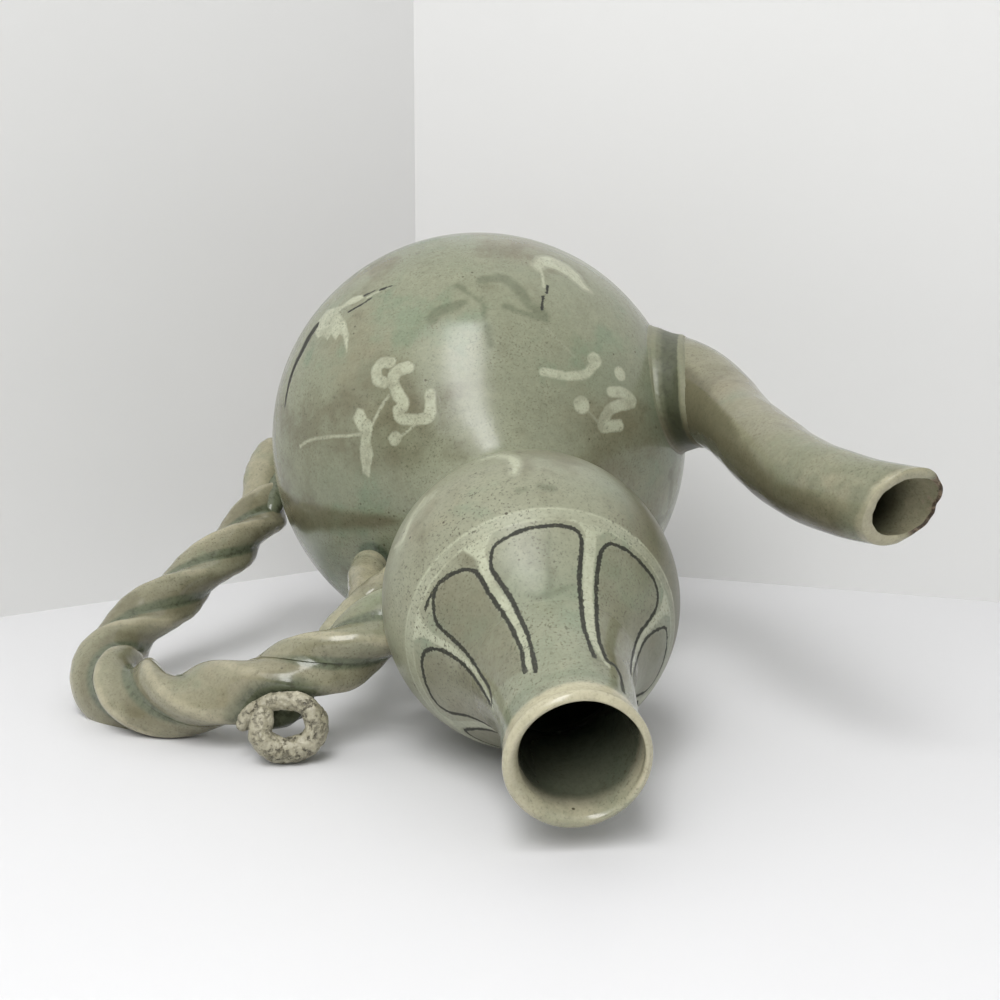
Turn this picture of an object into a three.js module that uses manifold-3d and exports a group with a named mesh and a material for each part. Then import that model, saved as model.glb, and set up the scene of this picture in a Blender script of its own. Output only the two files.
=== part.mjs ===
// A celadon ewer in the shape of a double gourd: a round lower bulb, a narrow
// waist, a small upper bulb with a short neck, a curved spout, and a handle of
// three twisted clay rolls that carries a small tie loop.
// Millimetres, +Z up along the axis of the pot. The origin is the centre of the
// face it stands on. The spout is on +X and the handle on -X.
import * as THREE from "three";
import { mergeVertices } from "three/addons/utils/BufferGeometryUtils.js";
import Module from "manifold-3d";

const wasm = await Module();
wasm.setup();

// ---------------------------------------------------------------- dimensions
const GAP = 0.3; // clearance between two luted pieces
const WALL = 4.4; // thickness of the thrown walls
const BODY_SEG = 40; // facets round the pot

const FOOT_R = 35.5; // resting face
const FOOT_H = 4.2;

// Outer outline of the thrown body as [radius, height].
const OUTLINE = [
  [37.4, 4.5],
  [44.8, 9.4],
  [53.4, 17.2],
  [60.6, 27.4],
  [66.0, 40.0],
  [68.9, 52.5],
  [69.4, 62.0],
  [68.6, 73.5],
  [65.9, 85.2],
  [60.9, 96.8],
  [53.6, 107.4],
  [45.2, 115.8],
  [36.6, 122.4],
  [29.0, 128.0],
  [23.4, 133.8],
  [20.2, 139.4],
  [19.2, 144.6],
  [20.4, 149.8],
  [24.2, 154.6],
  [29.4, 160.0],
  [33.6, 166.4],
  [36.6, 174.0],
  [38.0, 182.0],
  [38.2, 189.5],
  [36.9, 197.5],
  [33.8, 205.4],
  [28.9, 213.0],
  [23.5, 220.0],
  [19.5, 227.4],
  [17.1, 235.4],
  [15.9, 243.0],
  [15.4, 249.4],
  [15.5, 255.0],
  [16.0, 260.2],
];
const WAIST = 16; // outline index where the upper bulb is luted on
const SHOULDER = 28; // outline index where the neck is luted on
const LIP_TOP = 263.0;
const LIP_WALL = 3.0;
const FLOOR_Z = 11.5; // inside floor of the pot

// Centre line of the spout as [x, z, outer radius], in the plane y = 0.
const SPOUT = [
  [45.0, 56.0, 18.6],
  [54.0, 68.0, 19.3],
  [62.5, 80.0, 19.0],
  [68.6, 91.0, 17.2],
  [71.9, 100.5, 14.7],
  [73.6, 111.0, 12.8],
  [74.6, 124.0, 11.5],
  [75.3, 139.0, 11.2],
  [76.3, 155.0, 11.3],
  [78.0, 170.0, 11.3],
  [81.0, 183.5, 11.1],
  [85.4, 195.2, 10.8],
  [90.4, 204.6, 10.3],
  [95.4, 213.2, 10.0],
];
const SPOUT_WALL = 2.7;
const FEED = { x: 64.5, z: 83.5, r: 8.5, lean: 0.5 }; // hole that feeds the spout
// The cut of the tip: the plane z = TIP.z + TIP.ax (x - TIP.x) + TIP.ay y.
const TIP = { x: 93.15, z: 209.3, ax: -0.116, ay: 0.229 };

// Centre line of the rope handle as [x, z, radius over all three rolls].
const HANDLE = [
  [-63.5, 21.0, 6.4],
  [-71.5, 33.0, 8.2],
  [-77.0, 46.5, 9.2],
  [-81.0, 59.5, 9.4],
  [-86.7, 71.0, 9.2],
  [-93.2, 80.5, 9.2],
  [-100.0, 89.5, 9.4],
  [-107.0, 98.0, 9.6],
  [-113.3, 106.0, 9.8],
  [-118.9, 113.5, 9.9],
  [-122.9, 121.5, 10.1],
  [-124.6, 130.0, 10.8],
  [-123.8, 138.5, 11.5],
  [-120.8, 147.0, 11.8],
  [-115.8, 155.0, 11.6],
  [-108.5, 162.8, 11.2],
  [-99.5, 170.0, 10.6],
  [-89.0, 175.5, 10.0],
  [-78.0, 178.8, 9.8],
  [-67.0, 180.2, 9.8],
  [-56.0, 179.2, 10.1],
  [-46.0, 176.0, 10.4],
  [-37.0, 172.0, 10.8],
];
// The twist as [length along the rope, angle in degrees].
const TWIST = [
  [0, -230],
  [57, 0],
  [86, 120],
  [116.5, 240],
  [140, 360],
  [160, 480],
  [182.5, 600],
  [208, 720],
  [231, 840],
  [250, 940],
];
const ROLL_GAP = 0.45;
const FAN_FROM = 216; // where the three rolls part, near the waist
const FAN = [
  // the roll that passes behind and runs down to the shoulder
  [
    [-53.5, -4.6, 182.4, 4.4],
    [-48.9, -8.4, 176.0, 4.2],
    [-46.6, -8.2, 165.5, 4.2],
    [-45.4, -4.6, 154.0, 4.6],
    [-44.6, -1.4, 143.0, 5.0],
    [-43.8, 0.0, 132.0, 5.4],
    [-43.0, 0.4, 122.5, 5.4],
    [-42.0, 0.4, 114.0, 5.0],
  ],
  // the roll that runs in under the upper bulb
  [
    [-53.7, -0.9, 172.2, 4.3],
    [-48.3, 2.2, 169.8, 4.2],
    [-42.0, 3.4, 166.6, 4.4],
    [-34.0, 2.6, 162.0, 4.4],
    [-25.0, 1.6, 158.0, 4.0],
  ],
  // the roll on top, that ends on the side of the upper bulb
  [
    [-53.4, 5.6, 179.6, 4.4],
    [-47.9, 4.1, 181.6, 4.6],
    [-41.5, 2.2, 182.8, 5.0],
    [-34.0, 1.4, 182.6, 5.2],
    [-26.0, 0.6, 181.0, 5.2],
  ],
];

// Centre line of the small tie loop as [x, y, z, radius].
const LOOP = [
  [-81.4, -3.2, 190.4, 1.8],
  [-78.4, -1.1, 190.8, 2.06],
  [-74.1, 0.5, 191.2, 2.05],
  [-69.7, 0.6, 191.9, 2.05],
  [-65.6, -0.2, 192.8, 2.17],
  [-62.6, -2.3, 194.1, 2.42],
  [-61.6, -5.4, 195.4, 2.7],
  [-62.5, -8.7, 196.6, 2.7],
  [-65.0, -10.8, 197.5, 2.8],
  [-68.5, -11.4, 198.2, 2.9],
  [-72.2, -10.6, 198.6, 2.9],
  [-75.4, -8.2, 198.6, 2.7],
  [-76.8, -5.4, 198.2, 2.3],
];

// ------------------------------------------------------------------ helpers
const V = (x, y, z) => new THREE.Vector3(x, y, z);

function solidOf(geometry) {
  const g = geometry.clone();
  g.deleteAttribute("normal");
  g.deleteAttribute("uv");
  const m = mergeVertices(g, 1e-3);
  return new wasm.Manifold(
    new wasm.Mesh({
      numProp: 3,
      vertProperties: new Float32Array(m.attributes.position.array),
      triVerts: new Uint32Array(m.index.array),
    }),
  );
}

function geometryOf(solid) {
  const m = solid.getMesh();
  const v = new Float32Array(m.numVert * 3);
  for (let i = 0; i < m.numVert; i++)
    v.set(m.vertProperties.subarray(i * m.numProp, i * m.numProp + 3), i * 3);
  const g = new THREE.BufferGeometry();
  g.setAttribute("position", new THREE.BufferAttribute(v, 3));
  g.setIndex(new THREE.BufferAttribute(new Uint32Array(m.triVerts), 1));
  g.computeVertexNormals();
  return g;
}

// A closed skin over rings of equally many points, each end closed by a fan.
function loft(rings) {
  const n = rings[0].length;
  const pos = [];
  const idx = [];
  rings.forEach((ring) => ring.forEach((p) => pos.push(p.x, p.y, p.z)));
  for (let i = 0; i + 1 < rings.length; i++)
    for (let j = 0; j < n; j++) {
      const a = i * n + j;
      const b = i * n + ((j + 1) % n);
      idx.push(a, b, b + n, a, b + n, a + n);
    }
  [0, rings.length - 1].forEach((i, end) => {
    const c = rings[i].reduce((s, p) => s.add(p), V(0, 0, 0));
    c.multiplyScalar(1 / n);
    pos.push(c.x, c.y, c.z);
    const k = pos.length / 3 - 1;
    for (let j = 0; j < n; j++) {
      const a = i * n + j;
      const b = i * n + ((j + 1) % n);
      if (end) idx.push(k, a, b);
      else idx.push(k, b, a);
    }
  });
  const g = new THREE.BufferGeometry();
  g.setAttribute(
    "position",
    new THREE.BufferAttribute(new Float32Array(pos), 3),
  );
  g.setIndex(idx);
  return g;
}

// Points along a centre line in the plane y = 0, with the in-plane normal.
function track(points, steps) {
  const curve = new THREE.CatmullRomCurve3(
    points.map(([x, z]) => V(x, 0, z)),
    false,
    "centripetal",
  );
  curve.arcLengthDivisions = 800;
  const length = curve.getLength();
  const out = [];
  for (let i = 0; i <= steps; i++) {
    const u = i / steps;
    const p = curve.getPointAt(u);
    const t = curve.getTangentAt(u);
    out.push({ u, s: u * length, p, t, n: V(-t.z, 0, t.x) });
  }
  return out;
}

function ringAt(k, centre, radius, sides, phase = 0) {
  const ring = [];
  for (let j = 0; j < sides; j++) {
    const a = phase + (2 * Math.PI * j) / sides;
    ring.push(
      centre
        .clone()
        .addScaledVector(V(0, 1, 0), radius * Math.cos(a))
        .addScaledVector(k.n, radius * Math.sin(a)),
    );
  }
  return ring;
}

function lathe(profile, seg = BODY_SEG) {
  return new THREE.LatheGeometry(
    profile.map(([r, z]) => new THREE.Vector2(r, z)),
    seg,
  ).rotateX(Math.PI / 2);
}

// The outline moved along its own normal, outwards when d > 0.
function offsetOutline(from, to, d) {
  const out = [];
  for (let i = from; i <= to; i++) {
    const a = OUTLINE[Math.max(0, i - 1)];
    const b = OUTLINE[Math.min(OUTLINE.length - 1, i + 1)];
    const l = Math.hypot(b[0] - a[0], b[1] - a[1]);
    out.push([
      OUTLINE[i][0] + (d * (b[1] - a[1])) / l,
      OUTLINE[i][1] - (d * (b[0] - a[0])) / l,
    ]);
  }
  return out;
}

// Lathe profiles run from the foot up on the outside and back down inside.
function fixSense(solid, geometry) {
  if (solid.volume() >= 0) return solid;
  const g = geometry.index ? geometry.clone() : mergeVertices(geometry);
  const t = g.index.array;
  for (let i = 0; i < t.length; i += 3) [t[i + 1], t[i + 2]] = [t[i + 2], t[i + 1]];
  return solidOf(g);
}
const closed = (geometry) => fixSense(solidOf(geometry), geometry);

// -------------------------------------------------------------------- shapes
// Everything inside the outside of the pot, and a little more for clearance.
const last = OUTLINE.length - 1;
const envelope = closed(
  lathe([
    [0, 1],
    [OUTLINE[0][0], 1],
    ...offsetOutline(0, last, GAP),
    [0, OUTLINE[last][1]],
  ]),
);

const foot = closed(
  lathe([
    [0, 0],
    [FOOT_R - 0.8, 0],
    [FOOT_R, 0.8],
    [FOOT_R + 0.4, FOOT_H - 0.6],
    [FOOT_R + 0.9, FOOT_H],
    [0, FOOT_H],
  ]),
);

const spoutTrack = track(SPOUT, 16);
const spoutRadius = (u) => {
  const f = u * (SPOUT.length - 1);
  const i = Math.min(SPOUT.length - 2, Math.floor(f));
  return SPOUT[i][2] + (SPOUT[i + 1][2] - SPOUT[i][2]) * (f - i);
};
const spoutSolid = (extra, stretch = 0, sides = 18) => {
  const ks = spoutTrack;
  const rings = ks.map((k) => ringAt(k, k.p, spoutRadius(k.u) + extra, sides));
  if (stretch) {
    const a = ks[0];
    const b = ks[ks.length - 1];
    rings.unshift(
      ringAt(
        a,
        a.p.clone().addScaledVector(a.t, -stretch),
        spoutRadius(0) + extra,
        sides,
      ),
    );
    rings.push(
      ringAt(
        b,
        b.p.clone().addScaledVector(b.t, stretch),
        spoutRadius(1) + extra,
        sides,
      ),
    );
  }
  return closed(loft(rings));
};
const spoutBore = spoutSolid(-SPOUT_WALL, 6);

const feedHole = closed(
  new THREE.CylinderGeometry(FEED.r, FEED.r, 34, 18)
    .rotateX(Math.PI / 2)
    .rotateY(Math.PI / 2 - FEED.lean)
    .translate(FEED.x, 0, FEED.z),
);

const lowerOuter = offsetOutline(0, WAIST, 0);
lowerOuter[WAIST][1] -= GAP / 2;
const lowerInner = offsetOutline(1, WAIST, -WALL)
  .filter(([, z]) => z > FLOOR_Z + 3)
  .reverse();
lowerInner[0][1] = lowerOuter[WAIST][1];
const lowerBulb = closed(
  lathe([
    [0, FOOT_H + GAP],
    ...lowerOuter,
    ...lowerInner,
    [36.0, FLOOR_Z + 1.4],
    [26.0, FLOOR_Z],
    [0, FLOOR_Z],
  ]),
).subtract(feedHole);

const upperOuter = offsetOutline(WAIST, SHOULDER, 0);
upperOuter[0][1] += GAP / 2;
upperOuter[upperOuter.length - 1][1] -= GAP / 2;
const upperInner = offsetOutline(WAIST, SHOULDER, -WALL).reverse();
upperInner[0][1] = upperOuter[upperOuter.length - 1][1];
upperInner[upperInner.length - 1][1] = upperOuter[0][1];
const upperBulb = closed(lathe([...upperOuter, ...upperInner, upperOuter[0]]));

const neckOuter = offsetOutline(SHOULDER, last, 0);
neckOuter[0][1] += GAP / 2;
const neckInner = offsetOutline(SHOULDER, last, -LIP_WALL).reverse();
neckInner[neckInner.length - 1][1] = neckOuter[0][1];
neckInner[neckInner.length - 1][0] = OUTLINE[SHOULDER][0] - WALL;
const neck = closed(
  lathe(
    [
      ...neckOuter,
      [15.9, LIP_TOP - 0.9],
      [14.8, LIP_TOP],
      [13.6, LIP_TOP - 0.5],
      ...neckInner,
      neckOuter[0],
    ],
    32,
  ),
);

// Above the slanted plane of the tip everything is cut away.
const tipNormal = V(-TIP.ax, -TIP.ay, 1).normalize();
const tipCutter = closed(
  new THREE.BoxGeometry(80, 60, 40).applyMatrix4(
    new THREE.Matrix4()
      .makeTranslation(TIP.x, 0, TIP.z)
      .multiply(
        new THREE.Matrix4().makeRotationFromQuaternion(
          new THREE.Quaternion().setFromUnitVectors(V(0, 0, 1), tipNormal),
        ),
      )
      .multiply(new THREE.Matrix4().makeTranslation(0, 0, 20)),
  ),
);
const spout = spoutSolid(0)
  .subtract(spoutBore)
  .subtract(envelope)
  .subtract(tipCutter);

// The roll of clay pressed round the root of the spout.
const collarRings = [];
spoutTrack.slice(0, 6).forEach((k) => {
  const grow = Math.max(0, 3.4 * (1 - Math.max(0, k.s - 31) / 18));
  collarRings.push(ringAt(k, k.p, spoutRadius(k.u) + 0.25 + grow, 18));
});
const collarSeat = closed(
  lathe([
    [0, 40],
    ...offsetOutline(0, last, 3.4).filter(([, z]) => z > 40 && z < 130),
    [0, 130],
  ]),
);
const collar = closed(loft(collarRings))
  .intersect(collarSeat)
  .subtract(envelope)
  .subtract(spoutSolid(GAP, 6));

// A number read off a table of [position, value] by straight lines.
function table(rows, at) {
  let i = 0;
  while (i < rows.length - 2 && at > rows[i + 1][0]) i++;
  const f = (at - rows[i][0]) / (rows[i + 1][0] - rows[i][0]);
  return rows[i][1] + (rows[i + 1][1] - rows[i][1]) * Math.min(1, Math.max(0, f));
}

// Three rolls, twisted right-handed round the centre line of the handle. Near
// the waist they part, and each runs in to its own place on the body.
const handleTrack = track(HANDLE, 56);
const handleRadius = (u) => {
  const f = u * (HANDLE.length - 1);
  const i = Math.min(HANDLE.length - 2, Math.floor(f));
  return HANDLE[i][2] + (HANDLE[i + 1][2] - HANDLE[i][2]) * (f - i);
};
const rollRadius = (u) =>
  (handleRadius(u) - ROLL_GAP / Math.sqrt(3)) / (1 + 2 / Math.sqrt(3));
const rollOffset = (u) => (2 * rollRadius(u) + ROLL_GAP) / Math.sqrt(3);
function strand(number, extra = 0) {
  const stations = [];
  handleTrack.forEach((k) => {
    if (k.s > FAN_FROM) return;
    const turn = ((table(TWIST, k.s) + 60 + 120 * number) * Math.PI) / 180;
    stations.push({
      c: k.p
        .clone()
        .addScaledVector(V(0, 1, 0), rollOffset(k.u) * Math.cos(turn))
        .addScaledVector(k.n, rollOffset(k.u) * Math.sin(turn)),
      r: rollRadius(k.u),
      t: k.t,
      turn,
    });
  });
  const end = stations[stations.length - 1];
  const fan = FAN[number];
  const curve = new THREE.CatmullRomCurve3(
    [
      stations[stations.length - 3].c,
      end.c,
      ...fan.map(([x, y, z]) => V(x, y, z)),
    ],
    false,
    "centripetal",
  );
  const n = 2 * fan.length;
  const joints = fan.length + 1;
  for (let i = 1; i <= n; i++) {
    const f = (1 + (i / n) * fan.length) / joints;
    const j = Math.min(fan.length - 1, Math.floor((i / n) * fan.length - 1e-9));
    const g = (i / n) * fan.length - j;
    const before = j === 0 ? end.r : fan[j - 1][3];
    const own = curve.getTangent(f);
    stations.push({
      c: curve.getPoint(f),
      r: before + (fan[j][3] - before) * g,
      t: end.t.clone().lerp(own, Math.min(1, i / 3)).normalize(),
      turn: end.turn,
    });
  }
  let y = V(0, 1, 0);
  const rings = stations.map((k) => {
    y = V(0, 1, 0).addScaledVector(k.t, -k.t.y).normalize();
    const n2 = new THREE.Vector3().crossVectors(y, k.t).negate();
    const ring = [];
    for (let j = 0; j < 10; j++) {
      const a = k.turn + (2 * Math.PI * j) / 10;
      ring.push(
        k.c
          .clone()
          .addScaledVector(y, (k.r + extra) * Math.cos(a))
          .addScaledVector(n2, -(k.r + extra) * Math.sin(a)),
      );
    }
    return ring;
  });
  const bodies = closed(loft(rings)).subtract(envelope).decompose();
  bodies.sort((a, b) => b.volume() - a.volume());
  return bodies[0];
}
const strands = [0, 1, 2].map((i) => strand(i));

// The loop is a roll bent round into a ring, luted to the upper arm.
const loopCurve = new THREE.CatmullRomCurve3(
  LOOP.map(([x, y, z]) => V(x, y, z)),
  false,
  "centripetal",
);
const LOOP_STEPS = 26;
const loopRings = [];
const loopCentre = V(-69.2, -5.4, 195);
for (let i = 0; i <= LOOP_STEPS; i++) {
  const u = i / LOOP_STEPS;
  const f = u * (LOOP.length - 1);
  const j = Math.min(LOOP.length - 2, Math.floor(f));
  const r = LOOP[j][3] + (LOOP[j + 1][3] - LOOP[j][3]) * (f - j);
  const c = loopCurve.getPoint(u);
  const t = loopCurve.getTangent(u);
  const out = c.clone().sub(loopCentre);
  out.addScaledVector(t, -out.dot(t)).normalize();
  const side = new THREE.Vector3().crossVectors(t, out);
  const ring = [];
  for (let k = 0; k < 9; k++) {
    const b = (2 * Math.PI * k) / 9;
    ring.push(
      c
        .clone()
        .addScaledVector(out, r * Math.cos(b))
        .addScaledVector(side, r * Math.sin(b)),
    );
  }
  loopRings.push(ring);
}
let loopBody = closed(loft(loopRings));
for (const i of [0, 1, 2]) loopBody = loopBody.subtract(strand(i, GAP));
const loopBodies = loopBody.decompose();
loopBodies.sort((a, b) => b.volume() - a.volume());
const loop = loopBodies[0];

// --------------------------------------------------------------------- scene
const glaze = (colour, roughness = 0.2) =>
  new THREE.MeshStandardMaterial({ color: colour, roughness, metalness: 0 });
const ewer = new THREE.Group();
const thrown = new THREE.Group();
const spoutGroup = new THREE.Group();
const handleGroup = new THREE.Group();
ewer.add(thrown, spoutGroup, handleGroup);

function add(group, name, solid, material) {
  const mesh = new THREE.Mesh(geometryOf(solid), material);
  mesh.name = name;
  group.add(mesh);
}
add(thrown, "foot_disc", foot, glaze(0x9a8f76, 0.6));
add(thrown, "lower_bulb", lowerBulb, glaze(0x8b8f7c));
add(thrown, "upper_bulb", upperBulb, glaze(0xa3a893));
add(thrown, "neck_and_lip", neck, glaze(0xb3ae92));
add(spoutGroup, "spout_tube", spout, glaze(0x93977f));
add(spoutGroup, "spout_collar", collar, glaze(0x86907a));
strands.forEach((s, i) =>
  add(handleGroup, "handle_strand_" + "abc"[i], s, glaze(0xa09f85)),
);
add(handleGroup, "tie_loop", loop, glaze(0xa8a48c, 0.4));

export default ewer;
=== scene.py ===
import math
import bpy
import bmesh
import numpy as np
from mathutils import Matrix, Vector


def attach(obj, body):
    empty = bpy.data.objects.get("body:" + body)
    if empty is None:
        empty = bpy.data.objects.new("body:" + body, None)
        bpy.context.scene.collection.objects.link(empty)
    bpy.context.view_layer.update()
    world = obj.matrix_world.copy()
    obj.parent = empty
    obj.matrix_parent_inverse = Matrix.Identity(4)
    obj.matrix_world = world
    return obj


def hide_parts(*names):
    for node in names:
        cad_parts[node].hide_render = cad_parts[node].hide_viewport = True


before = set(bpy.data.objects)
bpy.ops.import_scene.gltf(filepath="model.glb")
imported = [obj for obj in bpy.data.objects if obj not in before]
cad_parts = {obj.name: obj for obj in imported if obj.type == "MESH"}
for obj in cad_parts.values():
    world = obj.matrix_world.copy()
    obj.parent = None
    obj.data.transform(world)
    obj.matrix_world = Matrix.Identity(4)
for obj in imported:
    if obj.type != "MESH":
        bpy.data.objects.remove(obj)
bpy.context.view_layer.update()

MM = 0.001
scene = bpy.context.scene
scene.view_settings.view_transform = "Standard"

# --------------------------------------------------------------- dimensions
# Millimetres. The outline of the thrown body as (radius, height).
OUTLINE = [
    (37.4, 4.5), (44.8, 9.4), (53.4, 17.2), (60.6, 27.4), (66.0, 40.0), (68.9, 52.5), (69.4, 62.0), (68.6, 73.5),
    (65.9, 85.2), (60.9, 96.8), (53.6, 107.4), (45.2, 115.8), (36.6, 122.4), (29.0, 128.0), (23.4, 133.8), (20.2, 139.4),
    (19.2, 144.6), (20.4, 149.8), (24.2, 154.6), (29.4, 160.0), (33.6, 166.4), (36.6, 174.0), (38.0, 182.0), (38.2, 189.5),
    (36.9, 197.5), (33.8, 205.4), (28.9, 213.0), (23.5, 220.0), (19.5, 227.4), (17.1, 235.4), (15.9, 243.0), (15.4, 249.4),
    (15.5, 255.0), (16.0, 259.3),
]
WAIST_Z, SHOULDER_Z = 144.6, 227.4
WALL, LIP_WALL = 4.4, 2.5

# Centre lines in the plane y = 0 as (x, z, radius).
SPOUT = [
    (45.0, 56.0, 18.6), (54.0, 68.0, 19.3), (62.5, 80.0, 19.0), (68.6, 91.0, 17.2), (71.9, 100.5, 14.7), (73.6, 111.0, 12.8),
    (74.6, 124.0, 11.5), (75.3, 139.0, 11.2), (76.3, 155.0, 11.3), (78.0, 170.0, 11.3), (81.0, 183.5, 11.1),
    (85.4, 195.2, 10.8), (90.4, 204.6, 10.3), (95.4, 213.2, 10.0), (100.4, 221.8, 9.8),
]
SPOUT_WALL = 2.7
HANDLE = [
    (-63.5, 21.0, 6.4), (-71.5, 33.0, 8.2), (-77.0, 46.5, 9.2), (-81.0, 59.5, 9.4), (-86.7, 71.0, 9.2), (-93.2, 80.5, 9.2),
    (-100.0, 89.5, 9.4), (-107.0, 98.0, 9.6), (-113.3, 106.0, 9.8), (-118.9, 113.5, 9.9), (-122.9, 121.5, 10.1),
    (-124.6, 130.0, 10.8), (-123.8, 138.5, 11.5), (-120.8, 147.0, 11.8), (-115.8, 155.0, 11.6), (-108.5, 162.8, 11.2),
    (-99.5, 170.0, 10.6), (-89.0, 175.5, 10.0), (-78.0, 178.8, 9.8), (-67.0, 180.2, 9.8), (-56.0, 179.2, 10.1),
    (-46.0, 176.0, 10.4), (-37.0, 172.0, 10.8), (-28.0, 168.5, 10.8),
]
TWIST = [
    (0, -230), (57, 0), (86, 120), (116.5, 240), (140, 360), (160, 480), (182.5, 600), (208, 720), (231, 840), (262, 985),
]
LOOP = [
    (-81.6, -3.9, 191.2, 1.9), (-78.4, -1.2, 191.0, 2.2), (-74.1, 0.4, 191.3, 2.25), (-69.7, 0.6, 192.0, 2.25),
    (-65.8, -0.4, 192.9, 2.4), (-62.8, -2.6, 194.2, 2.6), (-61.8, -5.6, 195.4, 2.85), (-62.6, -8.6, 196.5, 2.95),
    (-65.0, -10.6, 197.3, 3.1), (-68.5, -11.0, 197.8, 3.3), (-72.2, -10.0, 198.0, 3.4), (-75.0, -7.4, 197.9, 3.3),
    (-76.0, -4.4, 197.0, 3.05), (-74.8, -1.9, 195.2, 2.8), (-72.9, 0.3, 192.2, 2.4),
]

# ------------------------------------------------- decoration
# Points on the body as (azimuth in degrees, height in mm).
PETAL_A = [
    (100.4, 248), (98.4, 240.8), (97.3, 234.8), (98, 229.9), (98.5, 224.5), (99.7, 220.6), (100.9, 217.8), (100.9, 215.9),
    (99.5, 214.3), (96.5, 212.4), (92.7, 211.7), (87.2, 211.2), (80.1, 210.7), (73.4, 210.6), (66.7, 210.4), (60.9, 210.5),
    (57, 211.1), (55, 212.1), (54.2, 214.4), (54.3, 217), (54.6, 220.8), (54.2, 225), (53.9, 229.8), (53.8, 234.7),
    (52.6, 240), (50.5, 245.3),
]
PETAL_B = [
    (110.3, 246), (106.8, 239.8), (106.2, 234.5), (106.7, 228.5), (107.9, 224.3), (108.8, 219.7), (108.4, 216.9),
    (108.5, 215.4), (110.1, 213.9), (115.5, 212.2), (122.2, 211), (129, 210.5), (134.8, 211.7), (139.4, 213.3),
    (142.7, 215.1), (144, 217.9), (144.4, 221.3), (145.6, 225), (147.3, 228.5), (148.9, 232.2), (149.5, 236.6), (155.8, 240),
]
SPUR_B = [(129, 210.5), (134.2, 210.3), (140, 210.5)]
PETAL_C = [
    (23.9, 253.3), (23.3, 248.1), (28.3, 245.2), (36.1, 245), (40.1, 242.9), (42, 239.2), (42.1, 233.8), (42.3, 228.3),
    (43.3, 223.7), (43.9, 220.1), (44.2, 217.2), (44, 214.5), (42.3, 212.6), (39.3, 211.4), (35.3, 211), (29.8, 210.7),
    (22.6, 210.7), (16.2, 210.6), (10.3, 210.7), (5.4, 211.4), (1.8, 212.9), (-0.5, 215.1), (-0.9, 218.5), (0.1, 222.7),
    (-0.2, 226.5), (-0.8, 228.2), (0.6, 233.5), (3.4, 239.5),
]
PETAL_D = [
    (159.6, 239.5), (158.6, 235.5), (157.4, 231.9), (155.9, 228.4), (153.9, 224.6), (153.7, 220.9), (153.9, 217.7), (156.1, 214.9),
    (159.4, 212.9), (163.8, 211.8), (170.8, 211.3), (179.4, 210.9), (187.1, 210.8), (192.5, 211.8), (195.3, 214.4),
    (196.1, 218.3), (198.4, 222.5), (202, 229), (203, 236), (205, 243),
]
PETAL_F = [
    (-4.5, 240), (-7.5, 234.5), (-10.3, 229.2), (-9.4, 225.2), (-7.8, 221.8), (-8.8, 217.9), (-10.9, 214.5), (-13.5, 212.1),
    (-19.2, 211), (-28.2, 210.6), (-38, 210.8), (-44, 211.8), (-47.5, 214.4), (-48, 218), (-47.2, 224), (-48, 232), (-50, 242),
]
WEB_AB = [(102, 210.2), (103.3, 213.3), (104.8, 216.4), (105.0, 220.4), (103.4, 226), (102.3, 232.5), (102.7, 239.2), (106.0, 246.5)]
WEB_AC = [(50, 210.2), (49.7, 214.8), (49.4, 218.3), (49, 223.4), (48.5, 229.2), (47.7, 234.7), (46.2, 239.9), (42.5, 243.8), (37.2, 246.6)]
WEB_BD = [(150.6, 210), (150.6, 214.1), (150.2, 217.5), (150.4, 221.1), (151.3, 224.9), (152.2, 228.7), (153.2, 232.7), (156, 236.6), (160, 241.2)]
WEB_CF = [(-5.2, 210.4), (-4.4, 216.2), (-4.0, 220.2), (-4.2, 226.3), (-3.4, 232.6), (-1.5, 239.2)]
WEDGE_AB = [(108.6, 208.9), (95.1, 209.4), (98.6, 211), (101.3, 212.8), (103.3, 215.5), (105.6, 215.5), (105.4, 212.5)]
WEDGE_AC = [(56.2, 208.9), (43.5, 208.9), (46.8, 211), (48.2, 213.2), (51.4, 213.6), (52.9, 211.2)]
WEDGE_BD = [(143.5, 208.9), (146.8, 211), (148.6, 214.0), (152.0, 214.2), (153.2, 211), (157.5, 208.9)]
CURL = [(88.5, 176.6), (83.2, 177.3), (79.4, 180.7), (77.3, 184.9), (77.2, 189.2), (78.6, 192.6)]
# painted reflection: a pale streak near the upper bulb's left limb
PAINTED_REFLECTION_STREAK = [(131.5, 189.8), (126.8, 186.9), (121, 183.9), (112.1, 183.4)]

CRANE_1 = [
    (121.6, 71), (119.6, 69.6), (116.1, 69.3), (111.6, 76.2), (107.7, 76.8), (105.3, 79.4), (104.8, 81.8), (107.5, 81.1),
    (110.7, 78.4), (113.2, 78.1), (112.4, 85.3), (113.4, 92), (116.6, 96.8), (114.9, 90.4), (115.6, 88.3), (117.4, 89.3),
    (117.5, 85), (119.5, 85.6), (119.9, 81.3), (121.9, 79.6), (121.8, 74.9),
]
CRANE_1_LEGS = [[(110.4, 82.8), (106.7, 84.2), (103, 84.6)], [(104.6, 80.9), (101.6, 81.8)], [(100, 83.3), (96.8, 84.4)]]
CRANE_1_NECK = [(104, 82.9), (100.7, 83.5)]
CRANE_1_TAIL = [(121.3, 71.8), (124, 72.4), (127.6, 74.2), (131, 74.9), (134.9, 76.2), (139.2, 78.7), (142.7, 80.9)]
HOOK = [(107.2, 108.8), (109.9, 107.4), (112.4, 108.1), (114, 110.1), (112.9, 111.7)]
CLOUD_1 = [(103.3, 112.2), (107.1, 111.6), (109.7, 112.6), (111.2, 115.1), (111.8, 117.9), (115.6, 118.2), (116.5, 119.4), (109.6, 122.3), (105.6, 122.5), (100.4, 119.3)]
THIN_1 = [(114.3, 114.5), (120.1, 115.2), (126.2, 115.9)]
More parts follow.
